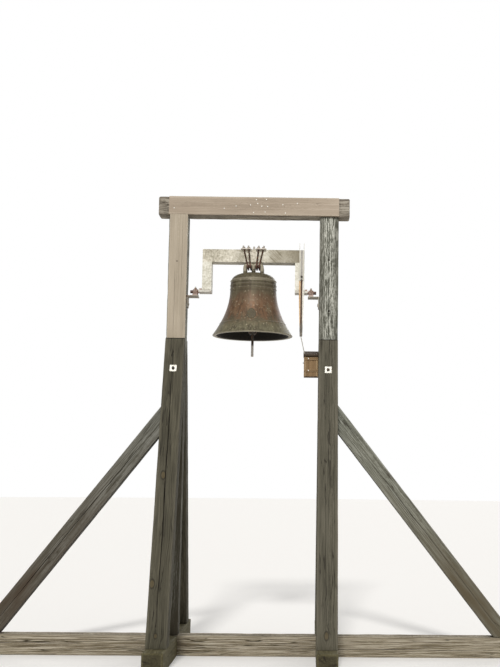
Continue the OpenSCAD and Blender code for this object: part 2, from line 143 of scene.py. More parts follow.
def make_floor():
    bpy.ops.mesh.primitive_circle_add(vertices=96, radius=FLOOR_RADIUS, fill_type="NGON")
    floor = bpy.context.object
    floor.name = "floor"
    # Smooth matt plaster. It is seen lifted towards the white background, and its shadows stay.
    plaster, tree, shader = start_finish("pale_studio_floor", 0.9, specular=0.1)
    shader.inputs["Base Color"].default_value = colour("#ece9e4")
    seen = seen_by(tree, "Is Camera Ray", "Is Glossy Ray")
    lift = add(tree, "Math", {0: seen, 1: FLOOR_LIFT}, operation="MULTIPLY")[0]
    shader.inputs["Emission Color"].default_value = (1, 1, 1, 1)
    tree.links.new(lift, shader.inputs["Emission Strength"])
    floor.data.materials.append(plaster)


# ---------------------------------------------------------------- finishes

# Scales of patterns are waves in a metre, so 50 gives marks that are 20 mm across.
KNOT_CORE, RUST_PATCH = "#5f5136", 0.022


def start_finish(name, roughness, metallic=0.0, specular=0.5):
    """A new material, its node tree and its shader, on which its uniform values are set."""
    made = bpy.data.materials.new(name)
    made.use_nodes = True
    tree = made.node_tree
    shader = tree.nodes["Principled BSDF"]
    shader.inputs["Roughness"].default_value = roughness
    shader.inputs["Metallic"].default_value = metallic
    shader.inputs["Specular IOR Level"].default_value = specular
    return made, tree, shader


def dress(tree, shader, looks, relief, depth, strength):
    """Links a finish's looks and its relief, which is so many metres deep."""
    bump = add(tree, "Bump", {"Height": relief, "Distance": depth, "Strength": strength})[0]
    for name, value in (*looks.items(), ("Normal", bump)):
        tree.links.new(value, shader.inputs[name])


def drawn_out(tree, place, waves, detail, roughness=0.5):
    """Marks drawn out along an axis, with so many waves in a metre of each."""
    place = add(tree, "VectorMath", {0: place, 1: waves}, operation="MULTIPLY")[0]
    return add(tree, "TexNoise", {"Vector": place, "Scale": 1.0, "Detail": detail,
                                  "Roughness": roughness})[0]


def weathered_wood(name, dark, mid, pale, check="#2a251e", edge=None, edge_share=0.5,
                   streak=0.011, run=3.2, sway_by=0.05, blotch=0.38, detail=7.0, contrast=1.0,
                   lines=0.8, stain_and_shade=None, roughness=0.86, knots=(), head=None):
    """Sawn timber left outdoors: lengthwise streaks, growth rings, thin open drying checks and
    worn edges. The grain attribute is the timber's own length, width and depth in metres, and the
    worn attribute marks its edges, its modelled checks and its end grain. Real fibres are 1 mm
    wide or finer; the streaks are drawn streak metres wide, coarser, so that they show."""
    made, tree, shader = start_finish(name, roughness, specular=0.22)
    grain = add(tree, "Attribute", attribute_name="grain")["Vector"]
    worn = add(tree, "Attribute", attribute_name="worn")["Vector"]
    on_edge, in_check, on_end = add(tree, "SeparateXYZ", {0: worn})[:3]
    place = add(tree, "TexCoord")["Object"]
    # Fibres wander sideways over about half a metre.
    sway = add(tree, "TexNoise", {"Vector": grain, "Scale": 2.4, "Detail": 2.0})["Color"]
    sway = add(tree, "VectorMath", {0: sway, 1: (0.5, 0.5, 0.5)}, operation="SUBTRACT")[0]
    sway = add(tree, "VectorMath", {0: sway, 1: (0, sway_by, sway_by)}, operation="MULTIPLY")[0]
    bent = add(tree, "VectorMath", {0: grain, 1: sway}, operation="ADD")[0]
    knot_core = knot_ring = 0.0
    for x, y, z, size in knots:
        # Round a knot the fibres of an upright timber bow outwards. Its core is brown branch wood.
        far = add(tree, "VectorMath", {0: place, 1: (x, y, z)}, operation="SUBTRACT")[0]
        far = add(tree, "SeparateXYZ", {0: far})
        far = add(tree, "CombineXYZ", {0: far[2], 1: far[0], 2: far[1]})[0]
        far = add(tree, "VectorMath", {0: far, 1: (0.5, 1, 1)}, operation="MULTIPLY")[0]
        length = add(tree, "VectorMath", {0: far}, operation="LENGTH")["Value"]
        push = add(tree, "MapRange", {"Value": length, "From Min": 0.0, "From Max": size * 3.5,
                                      "To Min": 0.75, "To Max": 0.0},
                   interpolation_type="SMOOTHSTEP")[0]
        off = add(tree, "VectorMath", {0: far, "Scale": push}, operation="SCALE")[0]
        bent = add(tree, "VectorMath", {0: bent, 1: off}, operation="SUBTRACT")[0]
        core = add(tree, "MapRange", {"Value": length, "From Min": size * 0.8,
                                      "From Max": size * 1.1, "To Min": 0.55, "To Max": 0.0})[0]
        knot_core = add(tree, "Math", {0: core, 1: knot_core}, operation="MAXIMUM")[0]
        ring = add(tree, "Math", {0: length, 1: size * 1.1}, operation="SUBTRACT")[0]
        ring = add(tree, "Math", {0: ring}, operation="ABSOLUTE")[0]
        ring = add(tree, "MapRange", {"Value": ring, "From Max": size * 0.4, "To Min": 0.7,
                                      "To Max": 0.0})[0]
        knot_ring = add(tree, "Math", {0: ring, 1: knot_ring}, operation="MAXIMUM")[0]
    streaks = drawn_out(tree, bent, (run, 1 / streak, 1 / streak), detail, 0.62)
    # Growth rings round a pith off the timber's middle, drawn 9 mm apart, coarser than the real
    # 3 mm, so that they show
    rings = add(tree, "TexWave", {"Vector": bent, "Scale": 35.0, "Distortion": 3.0,
                                  "Detail": 2.0, "Detail Scale": 1.2},
                wave_type="RINGS", rings_direction="X")["Fac"]
    # Sun and rain leave patches about 600 mm long and 110 mm wide.
    broad = drawn_out(tree, grain, (1.6, 9, 9), 3.0)
    tone = add(tree, "Math", {0: streaks, 1: (1 - blotch) * contrast}, operation="MULTIPLY")[0]
    tone = add(tree, "Math", {0: rings, 1: 0.10 * contrast, 2: tone}, operation="MULTIPLY_ADD")[0]
    tone = add(tree, "Math", {0: broad, 1: blotch * contrast, 2: tone}, operation="MULTIPLY_ADD")[0]
    tone = add(tree, "Math", {0: tone, 1: 0.5 - 0.55 * contrast}, operation="ADD")[0]
    face = add(tree, "ValToRGB", {"Fac": tone},
               stops=((0.33, dark), (0.50, mid), (0.66, pale)))[0]
    # Hairline checks about 30 mm apart follow the fibres for 200 to 600 mm and come in patches.
    thin = drawn_out(tree, bent, (1.3, 34, 34), 2.0)
    thin = add(tree, "Math", {0: thin, 1: 0.5}, operation="SUBTRACT")[0]
    thin = add(tree, "Math", {0: thin}, operation="ABSOLUTE")[0]
    thin = add(tree, "MapRange", {"Value": thin, "From Min": 0.004, "From Max": 0.022,
                                  "To Min": lines, "To Max": 0.0})[0]
    patch = add(tree, "MapRange", {"Value": broad, "From Min": 0.46, "From Max": 0.56,
                                   "To Min": 1.0, "To Max": 0.12})[0]
    thin = add(tree, "Math", {0: thin, 1: patch}, operation="MULTIPLY")[0]
    face = add(tree, "MixRGB", {"Fac": thin, "Color1": face, "Color2": check})[0]
    if knots:
        face = add(tree, "MixRGB", {"Fac": knot_core, "Color1": face, "Color2": KNOT_CORE})[0]
        face = add(tree, "MixRGB", {"Fac": knot_ring, "Color1": face, "Color2": check})[0]
    if edge:
        ragged = add(tree, "MapRange", {"Value": streaks, "From Min": 0.35, "From Max": 0.62,
                                        "To Min": 0.35, "To Max": 1.0})[0]
        ragged = add(tree, "Math", {0: ragged, 1: on_edge}, operation="MULTIPLY")[0]
        ragged = add(tree, "Math", {0: ragged, 1: edge_share}, operation="MULTIPLY")[0]
        face = add(tree, "MixRGB", {"Fac": ragged, "Color1": face, "Color2": edge})[0]
    if stain_and_shade:
        # The wood is darker below one height, in full, and not at all above another: damp at the
        # foot, and on the posts and braces in part painted shade.
        stain_and_shade_tone, full, gone, share = stain_and_shade
        height = add(tree, "SeparateXYZ", {0: place})[2]
        low = add(tree, "MapRange", {"Value": height, "From Min": full, "From Max": gone,
                                     "To Min": share, "To Max": 0.0})[0]
        low = add(tree, "Math", {0: low, 1: broad}, operation="MULTIPLY")[0]
        face = add(tree, "MixRGB", {"Fac": low, "Color1": face, "Color2": stain_and_shade_tone})[0]
    if head:
        # The timber is darker above this height, in a narrow rim at its head.
        dark_rim = add(tree, "MapRange", {"Value": add(tree, "SeparateXYZ", {0: place})[2],
                                     "From Min": head - 0.004, "From Max": head + 0.002,
                                     "To Min": 0.0, "To Max": 0.9})[0]
        face = add(tree, "MixRGB", {"Fac": dark_rim, "Color1": face, "Color2": check})[0]
    end_tone = add(tree, "MixRGB", {"Fac": 0.55, "Color1": face, "Color2": check})[0]
    face = add(tree, "MixRGB", {"Fac": on_end, "Color1": face, "Color2": end_tone})[0]
    # A modelled check turns to the check tone with its depth: dirt, and painted shade of the crack.
    face = add(tree, "MixRGB", {"Fac": in_check, "Color1": face, "Color2": check})[0]
    height = add(tree, "Math", {0: rings, 1: 0.25, 2: streaks}, operation="MULTIPLY_ADD")[0]
    height = add(tree, "Math", {0: height, 1: thin}, operation="SUBTRACT")[0]
    # The soft bands of the grain lie about 1.5 mm lower than the hard ones.
    dress(tree, shader, {"Base Color": face}, height, 0.0022, 0.8)
    return made


def rusted_steel(name, sound, rust, bright_rust, share, metallic=0.35, roughness=0.62, pale=None,
                 zones=()):
    """Bare or painted metal left outdoors: rust spreads in patches of 22 mm, darkest where it is
    thickest, and dulls the sheen. Its grain is drawn 5 mm across, coarser than the real one under
    1 mm, so that it shows. A zone gives another tone, with a blurred border, where each (axis,
    sign, limit) of it holds; axis 3 is the distance from the middle of the frame."""
    made, tree, shader = start_finish(name, roughness, specular=0.4)
    place = add(tree, "TexCoord")["Object"]
    cloud = add(tree, "TexNoise", {"Vector": place, "Scale": 1 / RUST_PATCH, "Detail": 6.0,
                                   "Roughness": 0.65})[0]
    fine = add(tree, "TexNoise", {"Vector": place, "Scale": 210.0, "Detail": 4.0})[0]
    cover = add(tree, "MapRange", {"Value": cloud, "From Min": 0.62 - 0.3 * share,
                                   "From Max": 0.74 - 0.3 * share})[0]
    ochre = add(tree, "ValToRGB", {"Fac": fine}, stops=((0.35, rust), (0.66, bright_rust)))[0]
    steel = add(tree, "ValToRGB", {"Fac": fine},
                stops=((0.30, sound), (0.72, pale or sound)))[0]
    face = add(tree, "MixRGB", {"Fac": cover, "Color1": steel, "Color2": ochre})[0]
    axes = list(add(tree, "SeparateXYZ", {0: place})[:3])
    axes.append(add(tree, "Math", {0: axes[0]}, operation="ABSOLUTE")[0])
    for low_tone, high_tone, blur, limits in zones:
        inside = None
        for axis, sign, limit in limits:
            held = add(tree, "Math", {0: axes[axis], 1: sign, 2: -sign * limit},
                       operation="MULTIPLY_ADD")[0]
            held = add(tree, "MapRange", {"Value": held, "From Min": -blur, "From Max": blur})[0]
            inside = held if inside is None else add(
                tree, "Math", {0: inside, 1: held}, operation="MULTIPLY")[0]
        tone = add(tree, "ValToRGB", {"Fac": cloud}, stops=((0.36, low_tone), (0.62, high_tone)))[0]
        face = add(tree, "MixRGB", {"Fac": inside, "Color1": face, "Color2": tone})[0]
    shine = add(tree, "MapRange", {"Value": cover, "To Min": metallic, "To Max": 0.0})[0]
    dull = add(tree, "MapRange", {"Value": cover, "To Min": roughness, "To Max": 0.92})[0]
    # Rust scale and pits, about 1 mm deep
    relief = add(tree, "Math", {0: fine, 1: 0.4, 2: cloud}, operation="MULTIPLY_ADD")[0]
    dress(tree, shader, {"Base Color": face, "Metallic": shine, "Roughness": dull}, relief,
          0.0012, 0.7)
    return made


def galvanised_steel(name, dark, mid, pale, band_tone=None):
    """Hot-dip galvanised steel gone dull outdoors: a mottled zinc spangle under grey-white bloom
    and dirt washed down it. When a band tone is given, painted shadows of twigs lie as slanting
    bands on both sides of the middle, and that tone also mottles the right end darker. The
    spangle is drawn 20 mm across, coarser than real, so that it shows."""
    made, tree, shader = start_finish(name, 0.58, 0.25, 0.4)
    place = add(tree, "TexCoord")["Object"]
    spangle = add(tree, "TexVoronoi", {"Vector": place, "Scale": 50.0})["Color"]
    spangle = add(tree, "SeparateXYZ", {0: spangle})[0]
    # Bloom comes in patches of 180 mm and specks of 14 mm, and dirt in runs 17 mm wide and
    # 140 mm long.
    cloud = add(tree, "TexNoise", {"Vector": place, "Scale": 5.5, "Detail": 5.0})[0]
    wash = drawn_out(tree, place, (60, 60, 7), 4.0)
    speck = add(tree, "TexNoise", {"Vector": place, "Scale": 70.0, "Detail": 3.0})[0]
    tone = -0.07
    for pattern, share in ((spangle, 0.14), (cloud, 0.50), (wash, 0.14), (speck, 0.50)):
        tone = add(tree, "Math", {0: pattern, 1: share, 2: tone}, operation="MULTIPLY_ADD")[0]
    tone = add(tree, "Math", {0: tone, 1: 0.07}, operation="SUBTRACT")[0]
    face = add(tree, "ValToRGB", {"Fac": tone}, stops=((0.34, dark), (0.50, mid), (0.66, pale)))[0]
    if band_tone:
        # Painted twig shadows in bands 8 mm wide and 250 mm long, at 46 degrees
        slant = add(tree, "VectorRotate", {"Vector": place, "Angle": -0.80},
                    rotation_type="Y_AXIS")[0]
        slant = drawn_out(tree, slant, (4, 30, 125), 3.0)
        slant = add(tree, "MapRange", {"Value": slant, "From Min": 0.40, "From Max": 0.60})[0]
        across = add(tree, "SeparateXYZ", {0: place})[0]
        across = add(tree, "MapRange", {"Value": across, "From Min": -0.5, "From Max": 0.5})[0]
        shadow_span = add(tree, "ValToRGB", {"Fac": across}, stops=(
            (0.30, 0.0), (0.34, 0.45), (0.40, 0.45), (0.43, 0.0), (0.60, 0.0), (0.66, 1.0),
            (0.76, 1.0), (0.81, 0.0)))[0]
        slant = add(tree, "Math", {0: slant, 1: shadow_span}, operation="MULTIPLY")[0]
        # The right end is mottled darker.
        darker_right_end = add(tree, "Math", {0: speck, 1: 0.5, 2: across}, operation="MULTIPLY_ADD")[0]
        darker_right_end = add(tree, "MapRange", {"Value": darker_right_end, "From Min": 0.84, "From Max": 1.14,
                                        "To Max": 0.85})[0]
        slant = add(tree, "Math", {0: slant, 1: darker_right_end}, operation="MAXIMUM")[0]
        face = add(tree, "MixRGB", {"Fac": slant, "Color1": face, "Color2": band_tone})[0]
    dull = add(tree, "MapRange", {"Value": tone, "From Min": 0.3, "From Max": 0.7,
                                  "To Min": 0.68, "To Max": 0.46})[0]
    dress(tree, shader, {"Base Color": face, "Roughness": dull}, wash, 0.0006, 0.4)
    return made


def patinated_bronze(name):
    """Cast bell bronze that has hung outdoors: a red-brown waist between dull olive patina at the
    shoulder and the lip, with run-off streaks and a rubbed bright edge at the lip. The shoulder's
    beads carry painted highlights on their crests, and dirt and painted shade below them."""
    made, tree, shader = start_finish(name, 0.5, specular=0.2)
    place = add(tree, "TexCoord")["Object"]
    z = add(tree, "SeparateXYZ", {0: place})[2]
    # Rain runs off in streaks 26 mm wide and 290 mm long, and patina lies in patches of 110 mm.
    # The cast skin's grain is drawn 10 mm across, coarser than the real 1 mm, so that it shows.
    drips = drawn_out(tree, place, (38, 38, 3.5), 8.0, 0.68)
    cloud = add(tree, "TexNoise", {"Vector": place, "Scale": 9.0, "Detail": 8.0,
                                   "Roughness": 0.6})[0]
    fine = add(tree, "TexNoise", {"Vector": place, "Scale": 95.0, "Detail": 4.0})[0]
    # Height above the lip as a share of the body, with ragged borders
    ragged = add(tree, "Math", {0: drips, 1: 0.30, 2: z}, operation="MULTIPLY_ADD")[0]
    ragged = add(tree, "Math", {0: cloud, 1: 0.10, 2: ragged}, operation="MULTIPLY_ADD")[0]
    level = add(tree, "MapRange", {"Value": ragged, "From Min": LIP_Z + 0.20,
                                   "From Max": LIP_Z + BODY_H + 0.20})[0]
    zone = add(tree, "ValToRGB", {"Fac": level}, stops=(
        (0.00, "#6b6550"), (0.10, "#736d56"), (0.17, "#6f6751"), (0.24, "#6a5a46"),
        (0.31, "#6d543f"), (0.42, "#745840"), (0.56, "#6c5642"), (0.66, "#605542"),
        (0.80, "#5f5745"), (0.93, "#6a634e"), (1.0, "#655e4b")))[0]
    # Redder bare metal shows through in upright patches of the waist, 110 mm wide.
    bare = drawn_out(tree, place, (9, 9, 3), 7.0, 0.65)
    bare = add(tree, "MapRange", {"Value": bare, "From Min": 0.44, "From Max": 0.62,
                                  "To Min": 0.0, "To Max": 0.6})[0]
    waist = add(tree, "ValToRGB", {"Fac": level}, stops=(
        (0.17, 0.0), (0.30, 1.0), (0.50, 1.0), (0.64, 0.0)))[0]
    bare = add(tree, "Math", {0: bare, 1: waist}, operation="MULTIPLY")[0]
    zone = add(tree, "MixRGB", {"Fac": bare, "Color1": zone, "Color2": "#76573f"})[0]
    grime = add(tree, "MapRange", {"Value": drips, "From Min": 0.40, "From Max": 0.58,
                                   "To Min": 0.6, "To Max": 0.0})[0]
    face = add(tree, "MixRGB", {"Fac": grime, "Color1": zone, "Color2": "#3a3125"})[0]
    bloom = add(tree, "MapRange", {"Value": cloud, "From Min": 0.52, "From Max": 0.70,
                                   "To Min": 0.0, "To Max": 0.45})[0]
    bloom = add(tree, "Math", {0: bloom, 1: fine}, operation="MULTIPLY")[0]
    face = add(tree, "MixRGB", {"Fac": bloom, "Color1": face, "Color2": "#9a9678"})[0]
    # Pale specks about 5 mm across: painted glints of sunlight.
    glint_fleck = drawn_out(tree, place, (75, 75, 50), 2.0)
    glint_fleck = add(tree, "MapRange", {"Value": glint_fleck, "From Min": 0.64, "From Max": 0.72,
                                   "To Min": 0.0, "To Max": 0.7})[0]
    face = add(tree, "MixRGB", {"Fac": glint_fleck, "Color1": face, "Color2": "#b5a98f"})[0]
    # The lip's lowest 7 mm is rubbed paler. The crests of the cast beads are painted paler as
    # painted highlights, and the crown is painted paler as painted light against the shade under
    # the headstock. The height of both ramps counts from just below the lip to just above the
    # crown.
    height = add(tree, "MapRange", {"Value": z, "From Min": 2.88, "From Max": 3.58})[0]
    rubbed_and_highlit = add(tree, "ValToRGB", {"Fac": height}, stops=(
        (0.0, 0.75), (0.013, 0.75), (0.019, 0.0), (0.160, 0.0), (0.1657, 0.22), (0.171, 0.0),
        (0.622, 0.0), (0.631, 0.25), (0.640, 0.0), (0.672, 0.0), (0.681, 0.30), (0.690, 0.0),
        (0.720, 0.0), (0.730, 0.50), (0.752, 0.50), (0.764, 0.0), (0.862, 0.0), (0.885, 0.9)))[0]
    face = add(tree, "MixRGB", {"Fac": rubbed_and_highlit, "Color1": face, "Color2": "#a39a86"})[0]
    # The grooves under the beads of the shoulder are darker: dirt, and painted shade under the
    # beads.
    groove_dirt_and_shade = add(tree, "ValToRGB", {"Fac": height}, stops=(
        (0.575, 0.0), (0.592, 0.35), (0.612, 0.0), (0.644, 0.0), (0.657, 0.50), (0.668, 0.0),
        (0.693, 0.0), (0.706, 0.60), (0.718, 0.0)))[0]
    face = add(tree, "MixRGB", {"Fac": groove_dirt_and_shade, "Color1": face, "Color2": "#2e281e"})[0]
    shine = add(tree, "MapRange", {"Value": cloud, "From Min": 0.35, "From Max": 0.65,
                                   "To Min": 0.35, "To Max": 0.12})[0]
    dull = add(tree, "MapRange", {"Value": drips, "From Min": 0.3, "From Max": 0.7,
                                  "To Min": 0.32, "To Max": 0.58})[0]
    dress(tree, shader, {"Base Color": face, "Metallic": shine, "Roughness": dull}, fine,
          0.0008, 0.5)
    return made


# ---------------------------------------------------------------- shapes

def place_piece(name, points, faces, finish, slot, body="frame", crease=38, marks=None):
    """Adds a piece from its points and faces. It is smooth between creases sharper than so many
    degrees and carries the marks that its finish reads."""
    mesh = bpy.data.meshes.new(name)
    mesh.from_pydata([tuple(p) for p in points], [], faces)
    shape = bmesh.new()
    shape.from_mesh(mesh)
    bmesh.ops.recalc_face_normals(shape, faces=shape.faces)
    shape.to_mesh(mesh)
    shape.free()
    for polygon in mesh.polygons:
        polygon.use_smooth = True
    mesh.set_sharp_from_angle(angle=math.radians(crease))
    for mark, values in (marks or {}).items():
        layer = mesh.attributes.new(mark, "FLOAT_VECTOR", "POINT")
        layer.data.foreach_set("vector", [c for v in values for c in v])
    mesh.materials.append(finish)
    piece = bpy.data.objects.new(name, mesh)
    scene.collection.objects.link(piece)
    if body:
        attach(piece, body)
    return piece


# A check is painted as dark as it gets from this depth on, in metres: dirt, and painted shade in
# the crack.
CHECK_DARK = 0.006


def timber(name, stands_for, reach, section, axes, finish, slot, edge=0.005, rough=0.002,
           checks=(), across=8, step=0.045, seed=1, body="frame", bark=(), end_cracks=0):
    """Lofts a timber through its corners at each station, with worn edges, an uneven sawn face,
    cracked ends and drying checks cut as grooves. A check is (side, share of the side, start, end,
    width, depth, wander). bark lists the sides where the round of the trunk is left."""
    draw = random.Random(seed)
    origin, along, wide, deep = axes
    pith = Vector((draw.uniform(0, 9), draw.uniform(-0.05, 0.05), draw.uniform(-0.05, 0.05)))
    start, end = reach
    count = max(2, round((end - start - 2 * edge) / step))
    stations = [start] + [start + edge + i * (end - start - 2 * edge) / count
                          for i in range(count + 1)] + [end]
    points, grain, worn, size = [], [], [], 0

    def put(point, inward, on_edge, depth, on_end=0.0):
        off = Vector(point) - origin
        own = Vector((off.dot(along), off.dot(wide), off.dot(deep))) + pith
        # Hollows 430 mm long, saw marks 110 mm long and, on an edge, dents 140 mm long
        uneven = 0.5 + 0.5 * noise.noise(Vector((own.x * 2.3, own.y * 13, own.z * 13)))
        uneven += 0.3 * noise.noise(Vector((own.x * 9, own.y * 60, own.z * 60)))
        if on_edge > 0.5:
            uneven += 1.2 * max(0.0, noise.noise(Vector((own.x * 7, seed, 3))))
        sink = rough * max(0.0, uneven) + depth
        points.append(point + inward * sink)
        grain.append(own)
        worn.append((on_edge, min(1.0, depth / CHECK_DARK), on_end))

    for s, t in enumerate(stations):
        corners = [Vector(c) for c in section(t)]
        middle = sum(corners, Vector()) / len(corners)
        if s in (0, len(stations) - 1):
            corners = [c + (middle - c).normalized() * min(0.8 * edge, (middle - c).length / 2)
                       for c in corners]
        for k, corner in enumerate(corners):
            last, ahead = corners[k - 1], corners[(k + 1) % len(corners)]
            beyond = corners[(k + 2) % len(corners)]
            side = ahead - corner
            r = min(edge, (last - corner).length * 0.4, side.length * 0.4)
            enter = corner + (last - corner).normalized() * r
            leave = corner + side.normalized() * r
            inward = (middle - corner).normalized()
            for u in (0, 0.35, 0.65, 1):
                bend = enter * (1 - u) ** 2 + corner * 2 * u * (1 - u) + leave * u * u
                put(bend, inward, 1.0, 0.0)
            r = min(edge, side.length * 0.4, (beyond - ahead).length * 0.4)
            arrive = ahead - side.normalized() * r
            inward = along.cross(side).normalized()
            if inward.dot(middle - corner) < 0:
                inward = -inward
            on_bark = 1.0 if k in bark else 0.0
            low, planned = 0.0, 0.0
            for c, (_, share, first, final, width, depth, wander) in enumerate(
                    [check for check in checks if check[0] == k]):
                ran = (t - first) / (final - first)
                gape = math.sin(math.pi * min(1, max(0, ran))) ** 0.6
                gape *= 0.75 + 0.5 * noise.noise(Vector((t * 6, seed + c, 8)))
                half = (width / 2 * gape + 0.0003) / max(side.length, 0.02)
                cut = share + wander * noise.noise(Vector((t * 1.4, seed * 3.1 + c, k)))
                parts = max(2, round(across * (share - planned)))
                for i in range(1, parts):
                    spot = leave.lerp(arrive, low + (cut - half - low) * i / parts)
                    put(spot, inward, on_bark, 0.0)
                for where, sink in ((cut - half, 0.0), (cut, depth * gape), (cut + half, 0.0)):
                    put(leave.lerp(arrive, where), inward, on_bark, max(0.0, sink))
                low, planned = cut + half, share
            parts = max(2, round(across * (1 - planned)))
            for i in range(1, parts):
                put(leave.lerp(arrive, low + (1 - low) * i / parts), inward, on_bark, 0.0)
        size = size or len(points)
    faces = []
    for s in range(len(stations) - 1):
        for j in range(size):
            a, b = s * size + j, s * size + (j + 1) % size
            faces.append((a, b, b + size, a + size))
    for first, inward in ((0, along), (size * (len(stations) - 1), -along)):
        rim = list(range(first, first + size))
        middle = sum((points[i] for i in rim), Vector()) / size
        cracked = {draw.randrange(size): draw.uniform(0.003, 0.008) for _ in range(end_cracks)}
        outer = rim
        for share in (0.8, 0.6, 0.4, 0.2):
            inner = []
            for j, i in enumerate(rim):
                inner.append(len(points))
                put(middle.lerp(points[i], share), inward, 0.0,
                    cracked.get(j, 0.0) * min(1, share * 1.5), 1.0)
            for j in range(size):
                faces.append((outer[j], outer[(j + 1) % size], inner[(j + 1) % size], inner[j]))
            outer = inner
        put(middle, inward, 0.0, 0.0, 1.0)
        for j in range(size):
            faces.append((outer[j], outer[(j + 1) % size], len(points) - 1))
    piece = place_piece(name, points, faces, finish, slot, body,
                        marks={"grain": grain, "worn": worn})
    if stands_for:
        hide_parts(stands_for)
    return piece


def along_x(y0, y1, z0, z1):
    """Corners of a level timber along X: its sides are its underside, back, top and front."""
    return lambda x: ((x, y0, z0), (x, y1, z0), (x, y1, z1), (x, y0, z1))


def along_z(x0, x1, y0, y1):
    """Corners of an upright timber: its sides are its front, right side, back and left side."""
    return lambda z: ((x0, y0, z), (x1, y0, z), (x1, y1, z), (x0, y1, z))


def turned(outline, segments=48, centre=(0, 0, 0), axis=UP):
    """Points and faces of an outline of (radius, height) turned about an axis."""
    spin = axis.to_track_quat("Z", "Y").to_matrix()
    points, faces, rows = [], [], []
    for radius, height in outline:
        if radius < 1e-6:
            rows.append([len(points)])
            points.append(Vector(centre) + spin @ Vector((0, 0, height)))
            continue
        rows.append(list(range(len(points), len(points) + segments)))
        for i in range(segments):
            angle = 2 * math.pi * i / segments
            points.append(Vector(centre) + spin @ Vector(
                (radius * math.cos(angle), radius * math.sin(angle), height)))
    for low, high in zip(rows, rows[1:]):
        for i in range(segments):
            quad = [low[i % len(low)], low[(i + 1) % len(low)],
                    high[(i + 1) % len(high)], high[i % len(high)]]
            quad = [p for n, p in enumerate(quad) if p not in quad[:n]]
            if len(quad) > 2:
                faces.append(tuple(quad))
    return points, faces


def tube(path, radius, sides=20):
    """Points and faces of a round bar along a path; radius may be a function of place and angle."""
    points, faces = [], []
    path = [Vector(p) for p in path]
    ahead = (path[1] - path[0]).normalized()
    across = ahead.orthogonal().normalized()
    for i, place in enumerate(path):
        now = (path[min(i + 1, len(path) - 1)] - path[max(i - 1, 0)]).normalized()
        across = (ahead.rotation_difference(now) @ across).normalized()
        ahead = now
        other = ahead.cross(across)
        for j in range(sides):
            angle = 2 * math.pi * j / sides
            r = radius(i, angle) if callable(radius) else radius
            points.append(place + r * (math.cos(angle) * across + math.sin(angle) * other))
    for i in range(len(path) - 1):
        for j in range(sides):
            a, b = i * sides + j, i * sides + (j + 1) % sides
            faces.append((a, b, b + sides, a + sides))
    faces.append(tuple(range(sides)))
    faces.append(tuple(range(len(points) - sides, len(points))))
    return points, faces


def joined(parts):
    """Several (points, faces) as one."""
    points, faces = [], []
    for some_points, some_faces in parts:
        faces += [tuple(i + len(points) for i in face) for face in some_faces]
        points += some_points
    return points, faces


def bezier(a, b, c, d, count):
    """A profile's curve from a to d, pulled towards b and c."""
    return [tuple((1 - t) ** 3 * a[k] + 3 * (1 - t) ** 2 * t * b[k]
                  + 3 * (1 - t) * t * t * c[k] + t ** 3 * d[k] for k in (0, 1))
            for t in (i / count for i in range(count + 1))]


# ---------------------------------------------------------------- timbers

SIDES, ENDS = {-1: "left", 1: "right"}, {-1: "front", 1: "rear"}
TIMBER, POST_X, POST_IN, POST_OUT, BEAM_Z, FRAME_H = 0.18, 0.705, 0.615, 0.795, 4.01, 4.19
HALF, WANE_X, WANE_Y = TIMBER / 2, 0.034, 0.016
SILL_END, SLEEPER_END, BEAM_END, BEAM_MIDDLE = 2.598, 1.055, 0.895, 4.1
BOARD_FRONT, BOARD_LOW, BOARD_HIGH, POST_BOARD_OUT = -0.12, 4.014, 4.186, 0.783
STRUT_TOP, STRUT_RUN, STRUT_HEAD_Y = 2.85, 0.74, 0.12
STRUT_LEAN = STRUT_RUN / (STRUT_TOP - TIMBER)
STRUT_THICK = TIMBER * math.sqrt(1 + STRUT_LEAN * STRUT_LEAN)
BRACE_SLOPE, BRACE_LOW, BRACE_HIGH, BRACE_HALF = math.tan(math.radians(52)), 1.9975, 2.2574, 0.075
BRACE_FOOT, BRACE_MIDDLE = 2.4175, 2.13


